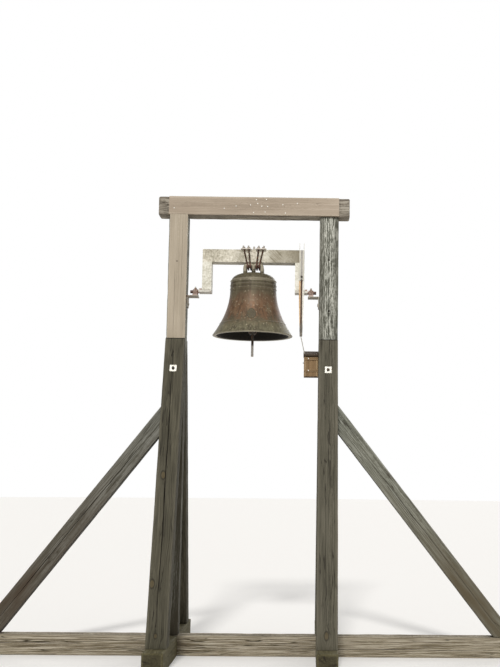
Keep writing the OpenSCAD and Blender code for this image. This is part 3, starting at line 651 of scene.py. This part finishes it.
def make_timbers():
    # Planed larch looks pale, even and a little sleek, with fine straight grain.
    planed = dict(run=1.2, sway_by=0.01, roughness=0.55)
    board = weathered_wood("planed_larch_board", "#8b7d6b", "#ab9b88", "#c9bba8", edge="#cfc2ad",
                           contrast=0.55, lines=0.15, streak=0.007, blotch=0.6, **planed)
    left_board = weathered_wood("planed_larch_post_board", "#8b806e", "#ada08c", "#c6baa6",
                                edge="#c4b9a5", contrast=0.5, lines=0.12, streak=0.008,
                                blotch=0.55, **planed)
    # Sawn oak bleached by sun and rain looks silver grey, with pale fibres between dark ones.
    core = weathered_wood("silvered_oak_beam", "#544d43", "#898072", "#b0a899",
                          edge="#6b6156", contrast=1.5, run=4, blotch=0.2)
    # Below the struts' heads the posts are darker: partly sheltered wood, partly painted shade.
    post = weathered_wood("silvered_oak_post", "#4b4b41", "#77776b", "#d0cfc3", edge="#605e54",
                          edge_share=0.6, contrast=1.8, run=13, streak=0.0060, blotch=0.10,
                          detail=8.0, sway_by=0.02, stain_and_shade=("#4b4639", 2.62, 2.84, 1.7))
    # The struts' oak is brown and dull and darker at its damp foot, with black checks, knots and a
    # dark rim at the head. In part their dark tone is painted shade.
    dark_rim_z, damp_foot = STRUT_TOP - 0.007, (0.02, 0.42, 0.9)
    # The left struts are darker than the right ones as painted shade.
    left_strut = weathered_wood("brown_shaded_oak_strut_left", "#38352b", "#4f4b3e", "#686353",
                                edge="#706b5d", contrast=0.9, streak=0.009, run=2.2,
                                check="#1b1813", head=dark_rim_z, stain_and_shade=("#3f3d2b", *damp_foot),
                                knots=((-0.733, -0.467, 1.598, 0.019),
                                       (-0.769, -0.718, 0.692, 0.019),
                                       (-0.712, -0.832, 0.283, 0.012)))
    right_strut = weathered_wood("brown_shaded_oak_strut_right", "#423f34", "#5a5649", "#726d5f",
                                 edge="#7d7768", contrast=0.85, streak=0.0075, run=2.6,
                                 sway_by=0.03, check="#211d17", head=dark_rim_z,
                                 stain_and_shade=("#4f4a3a", *damp_foot),
                                 knots=((0.699, -0.829, 0.291, 0.018),))
    # The braces' oak is grey towards the head and darker and browner down to the foot, and the
    # left brace is darker than the right: in part this is painted shade.
    brace_grain = dict(contrast=1.3, streak=0.0065, run=3.0, blotch=0.2, sway_by=0.02)
    left_brace = weathered_wood("brown_shaded_oak_brace", "#49473d", "#706f65", "#94938a",
                                check="#1b1813", edge="#8b8a80",
                                stain_and_shade=("#483e32", 0.60, 2.25, 1.6), **brace_grain)
    right_brace = weathered_wood("grey_oak_brace", "#55564a", "#7f8074", "#a9aa9e",
                                 edge="#a2a298", stain_and_shade=("#5b5240", 0.20, 2.30, 1.7), **brace_grain)
    # The sill's oak is bleached and strongly streaked; the sleepers' is olive brown with damp.
    sill = weathered_wood("grey_oak_sill", "#5d5242", "#9a8f7a", "#cfc5b3", edge="#a99e8a",
                          contrast=1.9, blotch=0.16, streak=0.0062, run=2.6, lines=1.0,
                          sway_by=0.016, stain_and_shade=("#6f664d", 0.02, 0.42, 0.7))
    sleeper = weathered_wood("damp_oak_sleeper", "#47422c", "#645d42", "#837b60",
                             edge="#6f6a50", contrast=1.0, stain_and_shade=("#413d27", *damp_foot))

    timber("sill_timber", "sill", (-SILL_END, SILL_END), along_x(-HALF, HALF, 0, TIMBER),
           (Vector((0, 0, 0)), RIGHT, BACK, UP), sill, "base_timber", edge=0.008, rough=0.004,
           seed=11, end_cracks=5, checks=(
               (3, 0.30, -2.4, -0.2, 0.005, 0.012, 0.10), (3, 0.62, 0.3, 2.5, 0.006, 0.014, 0.12),
               (3, 0.72, -1.9, 0.1, 0.004, 0.010, 0.08), (2, 0.45, -2.5, 2.2, 0.007, 0.018, 0.2),
               (1, 0.5, -1.5, 2.0, 0.006, 0.014, 0.15)))
    for side, seed in ((-1, 21), (1, 22)):
        x = side * POST_X

        def dip(y, x=x):
            top = TIMBER - (0.03 if abs(y) < HALF - 0.004 else 0)
            return ((x + HALF, y, 0), (x + HALF, y, top), (x - HALF, y, top), (x - HALF, y, 0))

        timber(SIDES[side] + "_sleeper_timber", SIDES[side] + "_sleeper",
               (-SLEEPER_END, SLEEPER_END), dip, (Vector((x, 0, HALF)), BACK, RIGHT, UP), sleeper,
               "base_timber", edge=0.008, rough=0.004, seed=seed, end_cracks=5, step=0.03,
               checks=((0, 0.55, -1.0, 1.0, 0.006, 0.014, 0.15),
                       (2, 0.5, -1.0, 0.9, 0.006, 0.014, 0.15)))

        def waney(z, x=x):
            return tuple((x + a, b, z) for a, b in (
                (-HALF + WANE_X, -HALF), (HALF - WANE_X, -HALF), (HALF, -HALF + WANE_Y),
                (HALF, HALF - WANE_Y), (HALF - WANE_X, HALF), (-HALF + WANE_X, HALF),
                (-HALF, HALF - WANE_Y), (-HALF, -HALF + WANE_Y)))

        timber(SIDES[side] + "_post_timber", SIDES[side] + "_post", (TIMBER, BEAM_Z), waney,
               (Vector((x, 0, 0)), UP, RIGHT, BACK), post, "post_timber", edge=0.004, rough=0.0035,
               across=6, seed=30 + side, bark=(1, 3, 5, 7), checks=(
                   (0, 0.42, 2.5, 4.3, 0.005, 0.016, 0.16), (0, 0.72, 2.9, 4.0, 0.003, 0.010, 0.10),
                   (2, 0.5, 0.4, 3.6, 0.007, 0.020, 0.2), (4, 0.55, 0.2, 3.9, 0.008, 0.022, 0.2),
                   (6, 0.45, 0.5, 3.7, 0.006, 0.018, 0.2)))

    timber("top_beam_timber", "top_beam", (-BEAM_END, BEAM_END),
           along_x(-HALF, HALF, BEAM_Z, FRAME_H), (Vector((0, 0, BEAM_MIDDLE)), RIGHT, BACK, UP),
           core, "beam_timber", edge=0.010, rough=0.005, seed=41, end_cracks=7, step=0.03, checks=(
               (1, 0.4, -0.9, 0.7, 0.006, 0.020, 0.15), (2, 0.5, -0.8, 0.9, 0.008, 0.022, 0.2),
               (0, 0.5, -0.7, 0.8, 0.005, 0.014, 0.15), (3, 0.5, -1.1, -0.7, 0.006, 0.014, 0.15),
               (3, 0.45, 0.75, 1.1, 0.006, 0.014, 0.15)))
    timber("beam_board_timber", "beam_board", (-POST_OUT, POST_OUT),
           along_x(BOARD_FRONT, -HALF, BOARD_LOW, BOARD_HIGH),
           (Vector((0, -0.1, BEAM_MIDDLE)), RIGHT, UP, BACK), board, "weather_board", edge=0.003,
           rough=0.0012, seed=45, across=10, checks=((3, 0.60, -0.7, 0.25, 0.0025, 0.006, 0.10),
                                                     (3, 0.28, 0.1, 0.78, 0.002, 0.005, 0.08)))
    timber("left_post_board_timber", "left_post_board", (STRUT_TOP, BOARD_LOW),
           along_z(-POST_BOARD_OUT, -POST_IN, BOARD_FRONT, -HALF),
           (Vector((-POST_X, -0.1, 0)), UP, RIGHT, BACK), left_board, "weather_board", edge=0.003,
           rough=0.0012, seed=47, across=10, checks=((0, 0.35, 2.85, 3.5, 0.003, 0.007, 0.08),
                                                     (0, 0.7, 3.2, 4.0, 0.002, 0.005, 0.08)))

    # Braces are lofted by upright sections, so that both ends are cut true to post and sill.
    for side, finish, open_by in ((-1, left_brace, 0.011), (1, right_brace, 0.007)):
        def slope(t, side=side):
            high = BRACE_HIGH - (t - POST_OUT) * BRACE_SLOPE
            low = max(TIMBER, BRACE_LOW - (t - POST_OUT) * BRACE_SLOPE)
            return tuple((side * t, y, z) for y, z in (
                (-BRACE_HALF, low), (BRACE_HALF, low), (BRACE_HALF, high), (-BRACE_HALF, high)))

        run = Vector((side, 0, -BRACE_SLOPE)).normalized()
        timber(SIDES[side] + "_brace_timber", SIDES[side] + "_brace", (POST_OUT, BRACE_FOOT), slope,
               (Vector((side * POST_OUT, 0, BRACE_MIDDLE)), run, BACK, run.cross(BACK)), finish,
               "brace_timber", edge=0.006, rough=0.003, seed=50 + side, step=0.028, across=9,
               checks=((3, 0.48, 0.95, 2.46, open_by, 0.022, 0.08),
                       (1, 0.48, 0.8, 2.2, 0.006, 0.016, 0.12),
                       (2, 0.5, 0.8, 2.3, 0.005, 0.014, 0.15)))

    # Struts are lofted by level sections: the back leaves the post's face where the rake carries
    # it away. The left ones are split by one long check, the right ones by a short fine one.
    for side, finish, split in ((-1, left_strut, (0, 0.46, 0.25, 2.80, 0.013, 0.026, 0.06)),
                                (1, right_strut, (0, 0.40, 0.3, 1.5, 0.004, 0.012, 0.06))):
        for front in (-1, 1):
            def raked(z, side=side, front=front):
                face = STRUT_HEAD_Y + (STRUT_TOP - z) * STRUT_LEAN
                back = max(face - STRUT_THICK, HALF)
                x0, x1 = side * POST_X - HALF, side * POST_X + HALF
                return ((x0, front * face, z), (x1, front * face, z),
                        (x1, front * back, z), (x0, front * back, z))

            name = "%s_%s_strut" % (SIDES[side], ENDS[front])
            rise = Vector((0, -front * STRUT_LEAN, 1)).normalized()
            timber(name + "_timber", name, (TIMBER, STRUT_TOP), raked,
                   (Vector((side * POST_X, front * (STRUT_HEAD_Y + STRUT_RUN), TIMBER)), rise,
                    RIGHT, rise.cross(RIGHT)), finish, "strut_timber", edge=0.006, rough=0.0025,
                   across=9, seed=60 + 3 * side + front,
                   checks=(split, (1, 0.5, 0.3, 2.6, 0.006, 0.016, 0.15),
                           (3, 0.5, 0.3, 2.6, 0.006, 0.016, 0.15)))


# ---------------------------------------------------------------- bell and clapper

LIP_Z, LIP_R, SHOULDER_R, BODY_H, CROWN_H, WALL = 2.884, 0.372, 0.213, 0.602, 0.088, 0.024
LOOP_R, LOOP_X, LOOP_Y, PIN_Z = 0.017, 0.0395, 0.050, 3.389
FLARE, INNER_R, BOW_IN = LIP_R - SHOULDER_R, SHOULDER_R - WALL, LIP_R - 0.056
BELL_SEGMENTS = 160
# The cast beads, as their radius and their height above the lip
BEADS = ((0.0030, 0.112), (0.0035, BODY_H - 0.164), (0.0040, BODY_H - 0.129),
         (0.0055, BODY_H - 0.086))
# The outside's profile, as radius and height above the lip: flare and waist, then the shoulder
OUTSIDE = (bezier((LIP_R - 0.006, 0.014), (SHOULDER_R + 0.484 * FLARE, 0.216 * BODY_H),
                  (SHOULDER_R + 0.057 * FLARE, 0.415 * BODY_H),
                  (SHOULDER_R + 0.002, 0.715 * BODY_H), 54)
           + bezier((SHOULDER_R, 0.83 * BODY_H), (SHOULDER_R - 0.006, 0.937 * BODY_H),
                    (0.718 * SHOULDER_R, 0.987 * BODY_H), (0, BODY_H), 30))


def bell_radius(height):
    """Radius of the bell's outside at a height above the lip, with its cast beads."""
    base = OUTSIDE[0][0]
    for (r0, z0), (r1, z1) in zip(OUTSIDE, OUTSIDE[1:]):
        if z0 <= height <= z1:
            base = r0 + (r1 - r0) * (height - z0) / max(z1 - z0, 1e-9)
    for size, middle in BEADS:
        if abs(height - middle) < size:
            base += math.sqrt(size * size - (height - middle) ** 2)
    return base


def make_bell():
    bronze = patinated_bronze("patinated_bell_bronze")
    # The inside is black and dull: in part bronze darkened out of the rain, in part painted shade
    # of the hollow, so the mouth reads as a deep hollow.
    dark_inside = rusted_steel("sooty_shaded_bronze_inside", "#1b1713", "#17130f", "#2a231a", 0.5, 0.0, 0.9)
    # The medallion's cast relief is worn to a grey olive.
    worn_disc = rusted_steel("greyed_bronze_medallion", "#463f31", "#51452f", "#6f624a", 0.35,
                             0.2, 0.6, pale="#645a45")
    # Forged iron is dark and lightly rusted. Its tail is pale low down: in part scoured, in part a
    # painted sunlit patch.
    iron = rusted_steel("forged_clapper_iron", "#3f3a35", "#4a382a", "#6b4a33", 0.4, 0.45, 0.55,
                        zones=(("#b3aca1", "#d6d0c6", 0.012, ((2, -1, 2.795),)),))
    heights = sorted([z for r, z in OUTSIDE] + [m + s * u for s, m in BEADS
                     for u in (-1, -0.9, -0.7, -0.4, 0, 0.4, 0.7, 0.9, 1)])
    outside = [(LIP_R - 0.020, 0.001), (LIP_R - 0.004, 0.0), (LIP_R - 0.001, 0.0016),
               (LIP_R, 0.005), (LIP_R - 0.0015, 0.0085)]
    outside += [(bell_radius(z) if z < BODY_H - 1e-6 else 0.0, z) for z in heights]
    top = BODY_H - WALL - 0.004
    inside = (bezier((0, top), (0.735 * INNER_R, top - 0.006), (INNER_R - 0.004, 0.904 * BODY_H),
                     (INNER_R, 0.814 * BODY_H), 16)
              + bezier((INNER_R + 0.001, 0.715 * BODY_H), (INNER_R + 0.063 * FLARE, 0.415 * BODY_H),
                       (BOW_IN - 0.25 * FLARE, 0.2 * BODY_H), (BOW_IN, 0.018), 30)
              + [(BOW_IN + 0.008, 0.006), (LIP_R - 0.034, 0.0015)])
    points, faces = turned([(r, LIP_Z + z) for r, z in inside + outside], BELL_SEGMENTS)
    bell = place_piece("bell_casting", points, faces, bronze, "bell_bronze", "swinging_bell", 50)
    bell.data.materials.append(dark_inside)
    for polygon in bell.data.polygons[:BELL_SEGMENTS * (len(inside) - 1)]:
        polygon.material_index = 1
    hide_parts("bell")

    # Four crown loops rise from the shoulder, bend over and end in the block between them.
    shoulder_z, sunk, into_block = LIP_Z + BODY_H, 0.06, 0.015
    loop_z = shoulder_z + CROWN_H - LOOP_X - LOOP_R - 0.002
    loops = []
    for side in (-1, 1):
        for y in (-LOOP_Y, LOOP_Y):
            path = [(2 * LOOP_X * side, y, shoulder_z - sunk + i * (loop_z - shoulder_z + sunk) / 6)
                    for i in range(6)]
            for a in (math.pi * i / 28 for i in range(29)):
                across = math.copysign(abs(math.cos(a)) ** 0.7, math.cos(a))
                path.append((side * LOOP_X * (1 + across), y, loop_z + LOOP_X * math.sin(a) ** 0.7))
            path += [(0, y, loop_z - 0.012), (0, y, shoulder_z - into_block)]
            loops.append(tube(path, LOOP_R, 24))
    place_piece("bell_crown_loops", *joined(loops), bronze, "bell_bronze", "swinging_bell", 60)
    timber("bell_crown_block", None, (shoulder_z - into_block, shoulder_z + CROWN_H - 0.0005),
           along_z(-LOOP_R, LOOP_R, -LOOP_Y, LOOP_Y), (Vector((0, 0, 0)), UP, RIGHT, BACK), bronze,
           "bell_bronze", rough=0.0006, step=0.01, body="swinging_bell")

    # A plain oval medallion, with a rim, six petals and a boss, on the front of the waist
    points, faces, rings, spokes, petals = [], [], 22, 64, 6
    middle, half_w, half_h = 0.180, 0.0425, 0.052
    plate_rise, rim_rise, petal_rise, boss_rise = 0.0012, 0.0034, 0.0036, 0.0030
    for i in range(rings + 1):
        share = i / rings
        for j in range(spokes):
            turn = 2 * math.pi * j / spokes
            across, up = half_w * share * math.cos(turn), half_h * share * math.sin(turn)
            rim = math.exp(-((share - 0.90) / 0.055) ** 2)
            petal = (0.5 + 0.5 * math.cos(petals * turn)) * math.exp(-((share - 0.42) / 0.20) ** 2)
            boss = math.exp(-(share / 0.16) ** 2)
            proud = plate_rise + rim_rise * rim + petal_rise * petal + boss_rise * boss
            if i == rings:
                proud = -0.001
            height = middle + up
            radius = bell_radius(height) + proud
            angle = -math.pi / 2 + across / bell_radius(middle)
            points.append(Vector((radius * math.cos(angle), radius * math.sin(angle),
                                  LIP_Z + height)))
            if i:
                a, b = (i - 1) * spokes + j, (i - 1) * spokes + (j + 1) % spokes
                faces.append((a, b, b + spokes, a + spokes))
    place_piece("bell_medallion", points, faces, worn_disc, "bell_bronze", "swinging_bell", 70)

    # The clapper's shaft, ball and tail are turned about Z and the eye on its pin about X.
    ball_z, ball_r, tail_r, tail_z = LIP_Z + 0.052, 0.042, 0.012, LIP_Z - 0.19
    shaft = [(0, PIN_Z - 0.012), (0.0078, PIN_Z - 0.013), (0.0082, PIN_Z - 0.05),
             (0.0105, ball_z + 0.2), (0.0125, ball_z + 0.06)]
    for i in range(3, 24):
        angle = math.pi / 2 - math.pi * i / 26
        shaft.append((ball_r * math.cos(angle), ball_z + ball_r * math.sin(angle)))
    shaft += [(tail_r + 0.003, ball_z - ball_r - 0.006), (tail_r, ball_z - ball_r - 0.016),
              (tail_r - 0.0005, tail_z + 0.02), (tail_r, tail_z + 0.004),
              (tail_r - 0.003, tail_z), (0, tail_z)]
    eye = [(0.0072, -0.008), (0.0200, -0.008), (0.0220, -0.006), (0.0220, 0.006), (0.0200, 0.008),
           (0.0072, 0.008), (0.0072, -0.008)]
    forging = joined([turned(shaft, 40), turned(eye, 40, (0, 0, PIN_Z), RIGHT)])
    clapper = place_piece("clapper_forging", *forging, iron, "clapper_iron", "clapper", 40)
    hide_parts("clapper")


# ---------------------------------------------------------------- drive box, cord and fittings

def studs(name, places, out, radius, height, finish, slot, body="frame", sides=14):
    """Low domed heads on a face, as one piece."""
    outline = [(radius * 0.96, -0.002), (radius, 0.0), (radius * 0.97, height * 0.45),
               (radius * 0.7, height * 0.85), (0, height)]
    return place_piece(name, *joined([turned(outline, sides, p, out) for p in places]),
                       finish, slot, body, 50)


def make_drive_box():
    # Oiled larch looks warm brown with a faint sheen.
    larch = weathered_wood("oiled_larch_box", "#665036", "#856b4b", "#a18462", check="#47351f",
                           edge="#c4aa84", edge_share=1.0, contrast=0.6, lines=0.3, streak=0.006,
                           sway_by=0.02, roughness=0.7)
    # A tarred roof board is dark and dull.
    roof_wood = weathered_wood("tarred_roof_board", "#2e261e", "#463b30", "#5f5244",
                               edge="#6a5c4c", contrast=0.8, lines=0.4)
    # Zinc-plated heads are bright dots on the wood. The same finish draws the beam board's painted
    # flecks of sunlight.
    zinc = rusted_steel("dull_zinc_screw", "#c9c6bd", "#8c7a66", "#b49a7c", 0.1, 0.5, 0.5,
                        pale="#e6e3da")
    # Blackened steel is nearly black with a dull sheen, for the knob, the nuts and their bolts.
    dark = rusted_steel("blackened_steel_knob", "#37332e", "#4d3a2a", "#6b4c33", 0.3, 0.5, 0.5)
    x0, x1, low, high, half, reveal = 0.481, POST_IN, 2.510, 2.697, 0.065, 0.003
    # How far the layers of the front stand forward; the first is 0.5 mm clear of the body.
    clear, panel_y, stile_y, batten_back, batten_y = -0.0655, -0.075, -0.077, -0.0745, -0.085
    batten_h, battens = 0.022, (("lower", 2.555), ("upper", 2.664))
    front_reach = (low + reveal, high - reveal)
    body_axes = (Vector((0.548, 0, 2.6)), UP, RIGHT, BACK)
    timber("drive_box_body", "drive_box", (low, high), along_z(x0, x1, -half, half), body_axes,
           larch, "stained_wood", edge=0.0015, rough=0.0004, step=0.02, seed=81)
    timber("drive_box_panel", "drive_box_front", front_reach,
           along_z(x0 + 0.012, x1 - 0.011, panel_y, clear), body_axes, larch, "stained_wood",
           edge=0.0012, rough=0.0004, step=0.02, seed=82)
    for name, a, b in (("left", x0 + reveal, x0 + 0.0125), ("right", x1 - 0.0115, x1 - reveal)):
        timber("drive_box_%s_stile" % name, None, front_reach, along_z(a, b, stile_y, clear),
               body_axes, larch, "stained_wood", edge=0.0012, rough=0.0003, step=0.02, seed=83)
    for name, z in battens:
        timber("drive_box_%s_batten" % name, None, (x0 + reveal, x1 - reveal),
               along_x(batten_y, batten_back, z, z + batten_h),
               (Vector((0.55, -0.08, z)), RIGHT, UP, BACK), larch, "stained_wood", edge=0.0015,
               rough=0.0004, step=0.02, seed=84)
    roof_left, eave, front_low, high_edge = 0.477, -0.099, high + 0.016, high + 0.062

    def pitched(x):
        return ((x, eave, high), (x, half, high), (x, half, high_edge), (x, eave, front_low))

    timber("drive_box_roof_board", "drive_box_roof", (roof_left, x1), pitched,
           (Vector((0.55, 0, 2.72)), RIGHT, BACK, UP), roof_wood, "roof_wood", edge=0.002,
           rough=0.0008, step=0.02, seed=85, across=6)
    studs("drive_box_screws", [(x0 + 0.043, -0.0848, z + batten_h / 2) for name, z in battens],
          -BACK, 0.0060, 0.0024, zinc, "zinc_fixing")
    knob = [(0.0035, -0.002), (0.0035, 0.003), (0.0060, 0.0045), (0.0066, 0.0065),
            (0.0050, 0.0085), (0, 0.009)]
    place_piece("drive_box_knob", *turned(knob, 20, (x0 + 0.0005, -0.045, 2.637), -RIGHT), dark,
                "dark_steel", "frame")
    return zinc, dark


def make_cord():
    """Three strands wind round the cord once in 30 mm. Hemp looks pale grey and fibrous; its
    fibres are drawn 2.5 mm apart, coarser than real, so that they show."""
    top, low = Vector((0.451, -0.0725, 2.8788)), Vector((0.4910, -0.0720, 2.6990))
    length, pitch, radius, count = (top - low).length, 0.030, 0.004, 60
    path = [top.lerp(low, i / count) for i in range(count + 1)]

    def strands(i, angle):
        turn = 2 * math.pi * i * length / count / pitch
        return radius * (0.80 + 0.20 * abs(math.cos(1.5 * (angle - turn))))

    made, tree, shader = start_finish("weathered_hemp_cord", 0.9, specular=0.2)
    fine = add(tree, "TexNoise", {"Vector": add(tree, "TexCoord")["Object"], "Scale": 400.0,
                                  "Detail": 4.0})[0]
    face = add(tree, "ValToRGB", {"Fac": fine}, stops=((0.3, "#8f8878"), (0.7, "#cfc9ba")))[0]
    dress(tree, shader, {"Base Color": face}, fine, 0.0005, 0.6)
    cord = place_piece("pull_cord_rope", *tube(path, strands, 18), made, "cord", None, 60)
    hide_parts("pull_cord")
    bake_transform(cord)


# The pale dots of the beam board, as (x, z): flecks of sunlight, drawn as painted light.
BOARD_SUN_FLECKS = ((-0.746, 4.071), (-0.280, 4.074), (-0.169, 4.097), (-0.035, 4.109), (-0.006, 4.036),
               (0.018, 4.159), (0.032, 4.122), (0.070, 4.098), (0.102, 4.043), (0.113, 4.165),
               (0.125, 4.096), (0.267, 4.115), (0.291, 4.035), (0.402, 4.128))
BOLT_Y, BOLT_Z, WASHER_THICK = 0.2004, 2.56, 0.0058
END_PLATE_OUT, END_PLATE_IN, HEADSTOCK_MIDDLE = 0.4745, 0.4700, 3.634


def make_fittings(zinc, dark):
    # Zinc that rain has dulled is a flat pale grey with few rust spots.
    washer = rusted_steel("galvanised_washer", "#b3b0a5", "#8a6f52", "#a98861", 0.1, 0.4, 0.5,
                          pale="#d8d5cb")
    # The beam's slanting dark bands are painted shadows of twigs.
    headstock = galvanised_steel("galvanised_headstock_beam", "#9d9684", "#bfb8a6", "#d9d4c5",
                                 band_tone="#766d58")
    legs = galvanised_steel("galvanised_headstock_legs", "#aca797", "#c6c2b2", "#dcd8cc")
    # Painted steel plate has greyed, with rust in patches.
    bracket = rusted_steel("greyed_angle_bracket", "#8f897c", "#6f5440", "#93715a", 0.3, 0.2, 0.7,
                           pale="#b3ad9f")
    # Rough cast iron takes rust evenly and looks pink grey; its foot and its cap stay paler.
    bearing = rusted_steel("rusty_cast_bearing", "#857062", "#65493b", "#8c6b58", 0.5, 0.1, 0.75,
                           pale="#a8958a", zones=(("#a08b80", "#c4b0a6", 0.002, ((2, -1, 3.2705),)),
                                                  ("#9a9585", "#c3bfae", 0.003, ((2, 1, 3.333),))))
    # Red oxide is left on the shaft and in the middle of the raised block. A thin dark line along
    # the plate's top, under the leg, is painted shadow.
    red, seam = ("#8a5f56", "#b0887e"), ("#4a3730", "#6c544b")
    gudgeon = rusted_steel("zinc_plate_with_red_oxide_shaft", "#bab5a8", "#8a7a68", "#a8947c", 0.08,
                           0.15, 0.6, pale="#dedacf", zones=(
                               (*red, 0.0008, ((3, 1, 0.5086),)),
                               (*seam, 0.0010, ((3, 1, 0.5640),)),
                               (*red, 0.0015, ((3, 1, 0.4845), (3, -1, 0.5020),
                                               (2, 1, 3.3135), (2, -1, 3.3285))),
                               # Painted shadow: a thin dark line along the plate's top, under the
                               # leg
                               ("#4a4034", "#645646", 0.0008, ((2, 1, 3.3072), (3, -1, 0.4786)))))
    # The straps' plates are pale grey, stained a little pink by rust.
    plate = rusted_steel("greyed_strap_plate", "#b3a99d", "#8a7263", "#a48a7a", 0.15, 0.2, 0.6,
                         pale="#ddd6ca")
    # Round bar is dark with rust, redder in the crown's loops and bright on its threads.
    rod = rusted_steel("dark_rusty_rod", "#2a1f17", "#3d2617", "#6e4527", 0.55, 0.1, 0.7,
                       zones=(("#4c3028", "#7b584c", 0.012, ((2, -1, 3.566),)),
                              ("#8f867b", "#bdb4a8", 0.003, ((2, 1, 3.700),))))
    # The lever's web is grey in front of the beam and dark brown below it. Its flanges catch the
    # light, tan on one side and white on the other, and its foot is soiled.
    web, below_beam = (1, 1, -0.0785), (2, -1, 3.400)
    lever = rusted_steel("galvanised_lever_channel", "#bcb8ab", "#8a7256", "#a98b63", 0.08, 0.2,
                         0.55, pale="#d6d2c6", zones=(
                             ("#85807b", "#a7a19a", 0.0025, ((0, 1, 0.4445), (0, -1, 0.4585), web)),
                             ("#b58a56", "#e3c9a2", 0.0025, (below_beam, (0, -1, 0.4425))),
                             ("#c9c4b6", "#ebe8df", 0.0025, (below_beam, (0, 1, 0.4590))),
                             ("#2d2017", "#553720", 0.0025, (below_beam, (0, 1, 0.4425),
                                                             (0, -1, 0.4590), web)),
                             ("#5b554c", "#857e72", 0.03, ((2, -1, 2.985),))))
    # Forged bar is dark and a little sleek, with a bright end above its plate.
    staple = rusted_steel("dark_staple_iron", "#57504a", "#54402f", "#7a5437", 0.4, 0.5, 0.55,
                          zones=(("#a39b90", "#cbc4b8", 0.003, ((2, 1, 3.700),)),))
    # A knot is hard branch wood, which weathers nearly black.
    knot = rusted_steel("dark_knot_wood", "#241f19", "#2f271e", "#40362a", 0.4, 0.0, 0.9)
    sides = SIDES.values()
    for finish, names in (
            (washer, ["%s_%s_bolt" % (s, e) for s in sides for e in ENDS.values()]),
            (headstock, ["headstock_beam"]), (legs, [s + "_leg" for s in sides]),
            (bracket, [s + "_bracket" for s in sides]), (bearing, [s + "_bearing" for s in sides]),
            (gudgeon, [s + "_gudgeon" for s in sides]),
            (plate, [s + "_strap_plate" for s in sides]),
            (rod, ["%s_%s_strap" % (s, p) for s in sides for p in ("outer", "inner")]),
            (lever, ["ringing_lever"]), (staple, ["clapper_staple"]),
            (dark, ["upper_lever_bolt", "lower_lever_bolt"])):
        for name in names:
            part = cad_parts[name]
            part.data.materials.clear()
            part.data.materials.append(finish)
            bevel = part.modifiers.new("worn_edges", "BEVEL")
            bevel.width, bevel.segments, bevel.limit_method = 0.001, 2, "ANGLE"
            bevel.angle_limit = math.radians(40)

    for side in SIDES:
        reach = sorted((side * END_PLATE_OUT, side * END_PLATE_IN))
        timber("headstock_%s_end_plate" % SIDES[side], None, reach,
               along_x(-0.0615, 0.0615, 3.5825, 3.6855),
               (Vector((0, 0, HEADSTOCK_MIDDLE)), RIGHT, BACK, UP), headstock, "headstock_steel",
               edge=0.001, rough=0.0003, step=0.01, body="swinging_bell")

    # Dark hexagon nuts with their bolts' ends on the pale square washers, as (radius, height)
    nut = [(0.0144, 0), (0.0150, 0.001), (0.0150, 0.0098), (0.0138, 0.0112), (0.0084, 0.0114)]
    bolt_end = [(0.0084, 0.0100), (0.0084, 0.0175), (0.0070, 0.0190), (0, 0.0192)]
    for side in SIDES:
        for front in ENDS:
            out = Vector((0, front, STRUT_LEAN)).normalized()
            seat = Vector((side * POST_X, front * BOLT_Y, BOLT_Z)) + WASHER_THICK * out
            place_piece("%s_%s_bolt_nut" % (SIDES[side], ENDS[front]),
                        *joined([turned(nut, 6, seat, out), turned(bolt_end, 20, seat, out)]),
                        dark, "dark_steel", crease=25)

    # Bright zinc heads on the beam board, one for each bright dot that the board shows: the dots
    # are flecks of sunlight, so the heads are painted light.
    fleck_places = [(x, BOARD_FRONT - 0.0005, z) for x, z in BOARD_SUN_FLECKS]
    studs("beam_board_sun_flecks", fleck_places, -BACK, 0.0052, 0.0016, zinc, "zinc_fixing")
    for name, place, size in (("left_post_board", (-0.707, BOARD_FRONT, 3.567), 0.0062),
                              ("right_post_upper", (0.704, -0.0895, 3.601), 0.0095),
                              ("right_post_lower", (0.709, -0.0895, 3.120), 0.0095)):
        studs(name + "_knot", [place], -BACK, size, 0.0010, knot, "post_timber", sides=18)


make_camera()
make_light()
make_floor()
scene.view_settings.view_transform = "Standard"
make_timbers()
make_bell()
zinc, dark = make_drive_box()
make_cord()
make_fittings(zinc, dark)
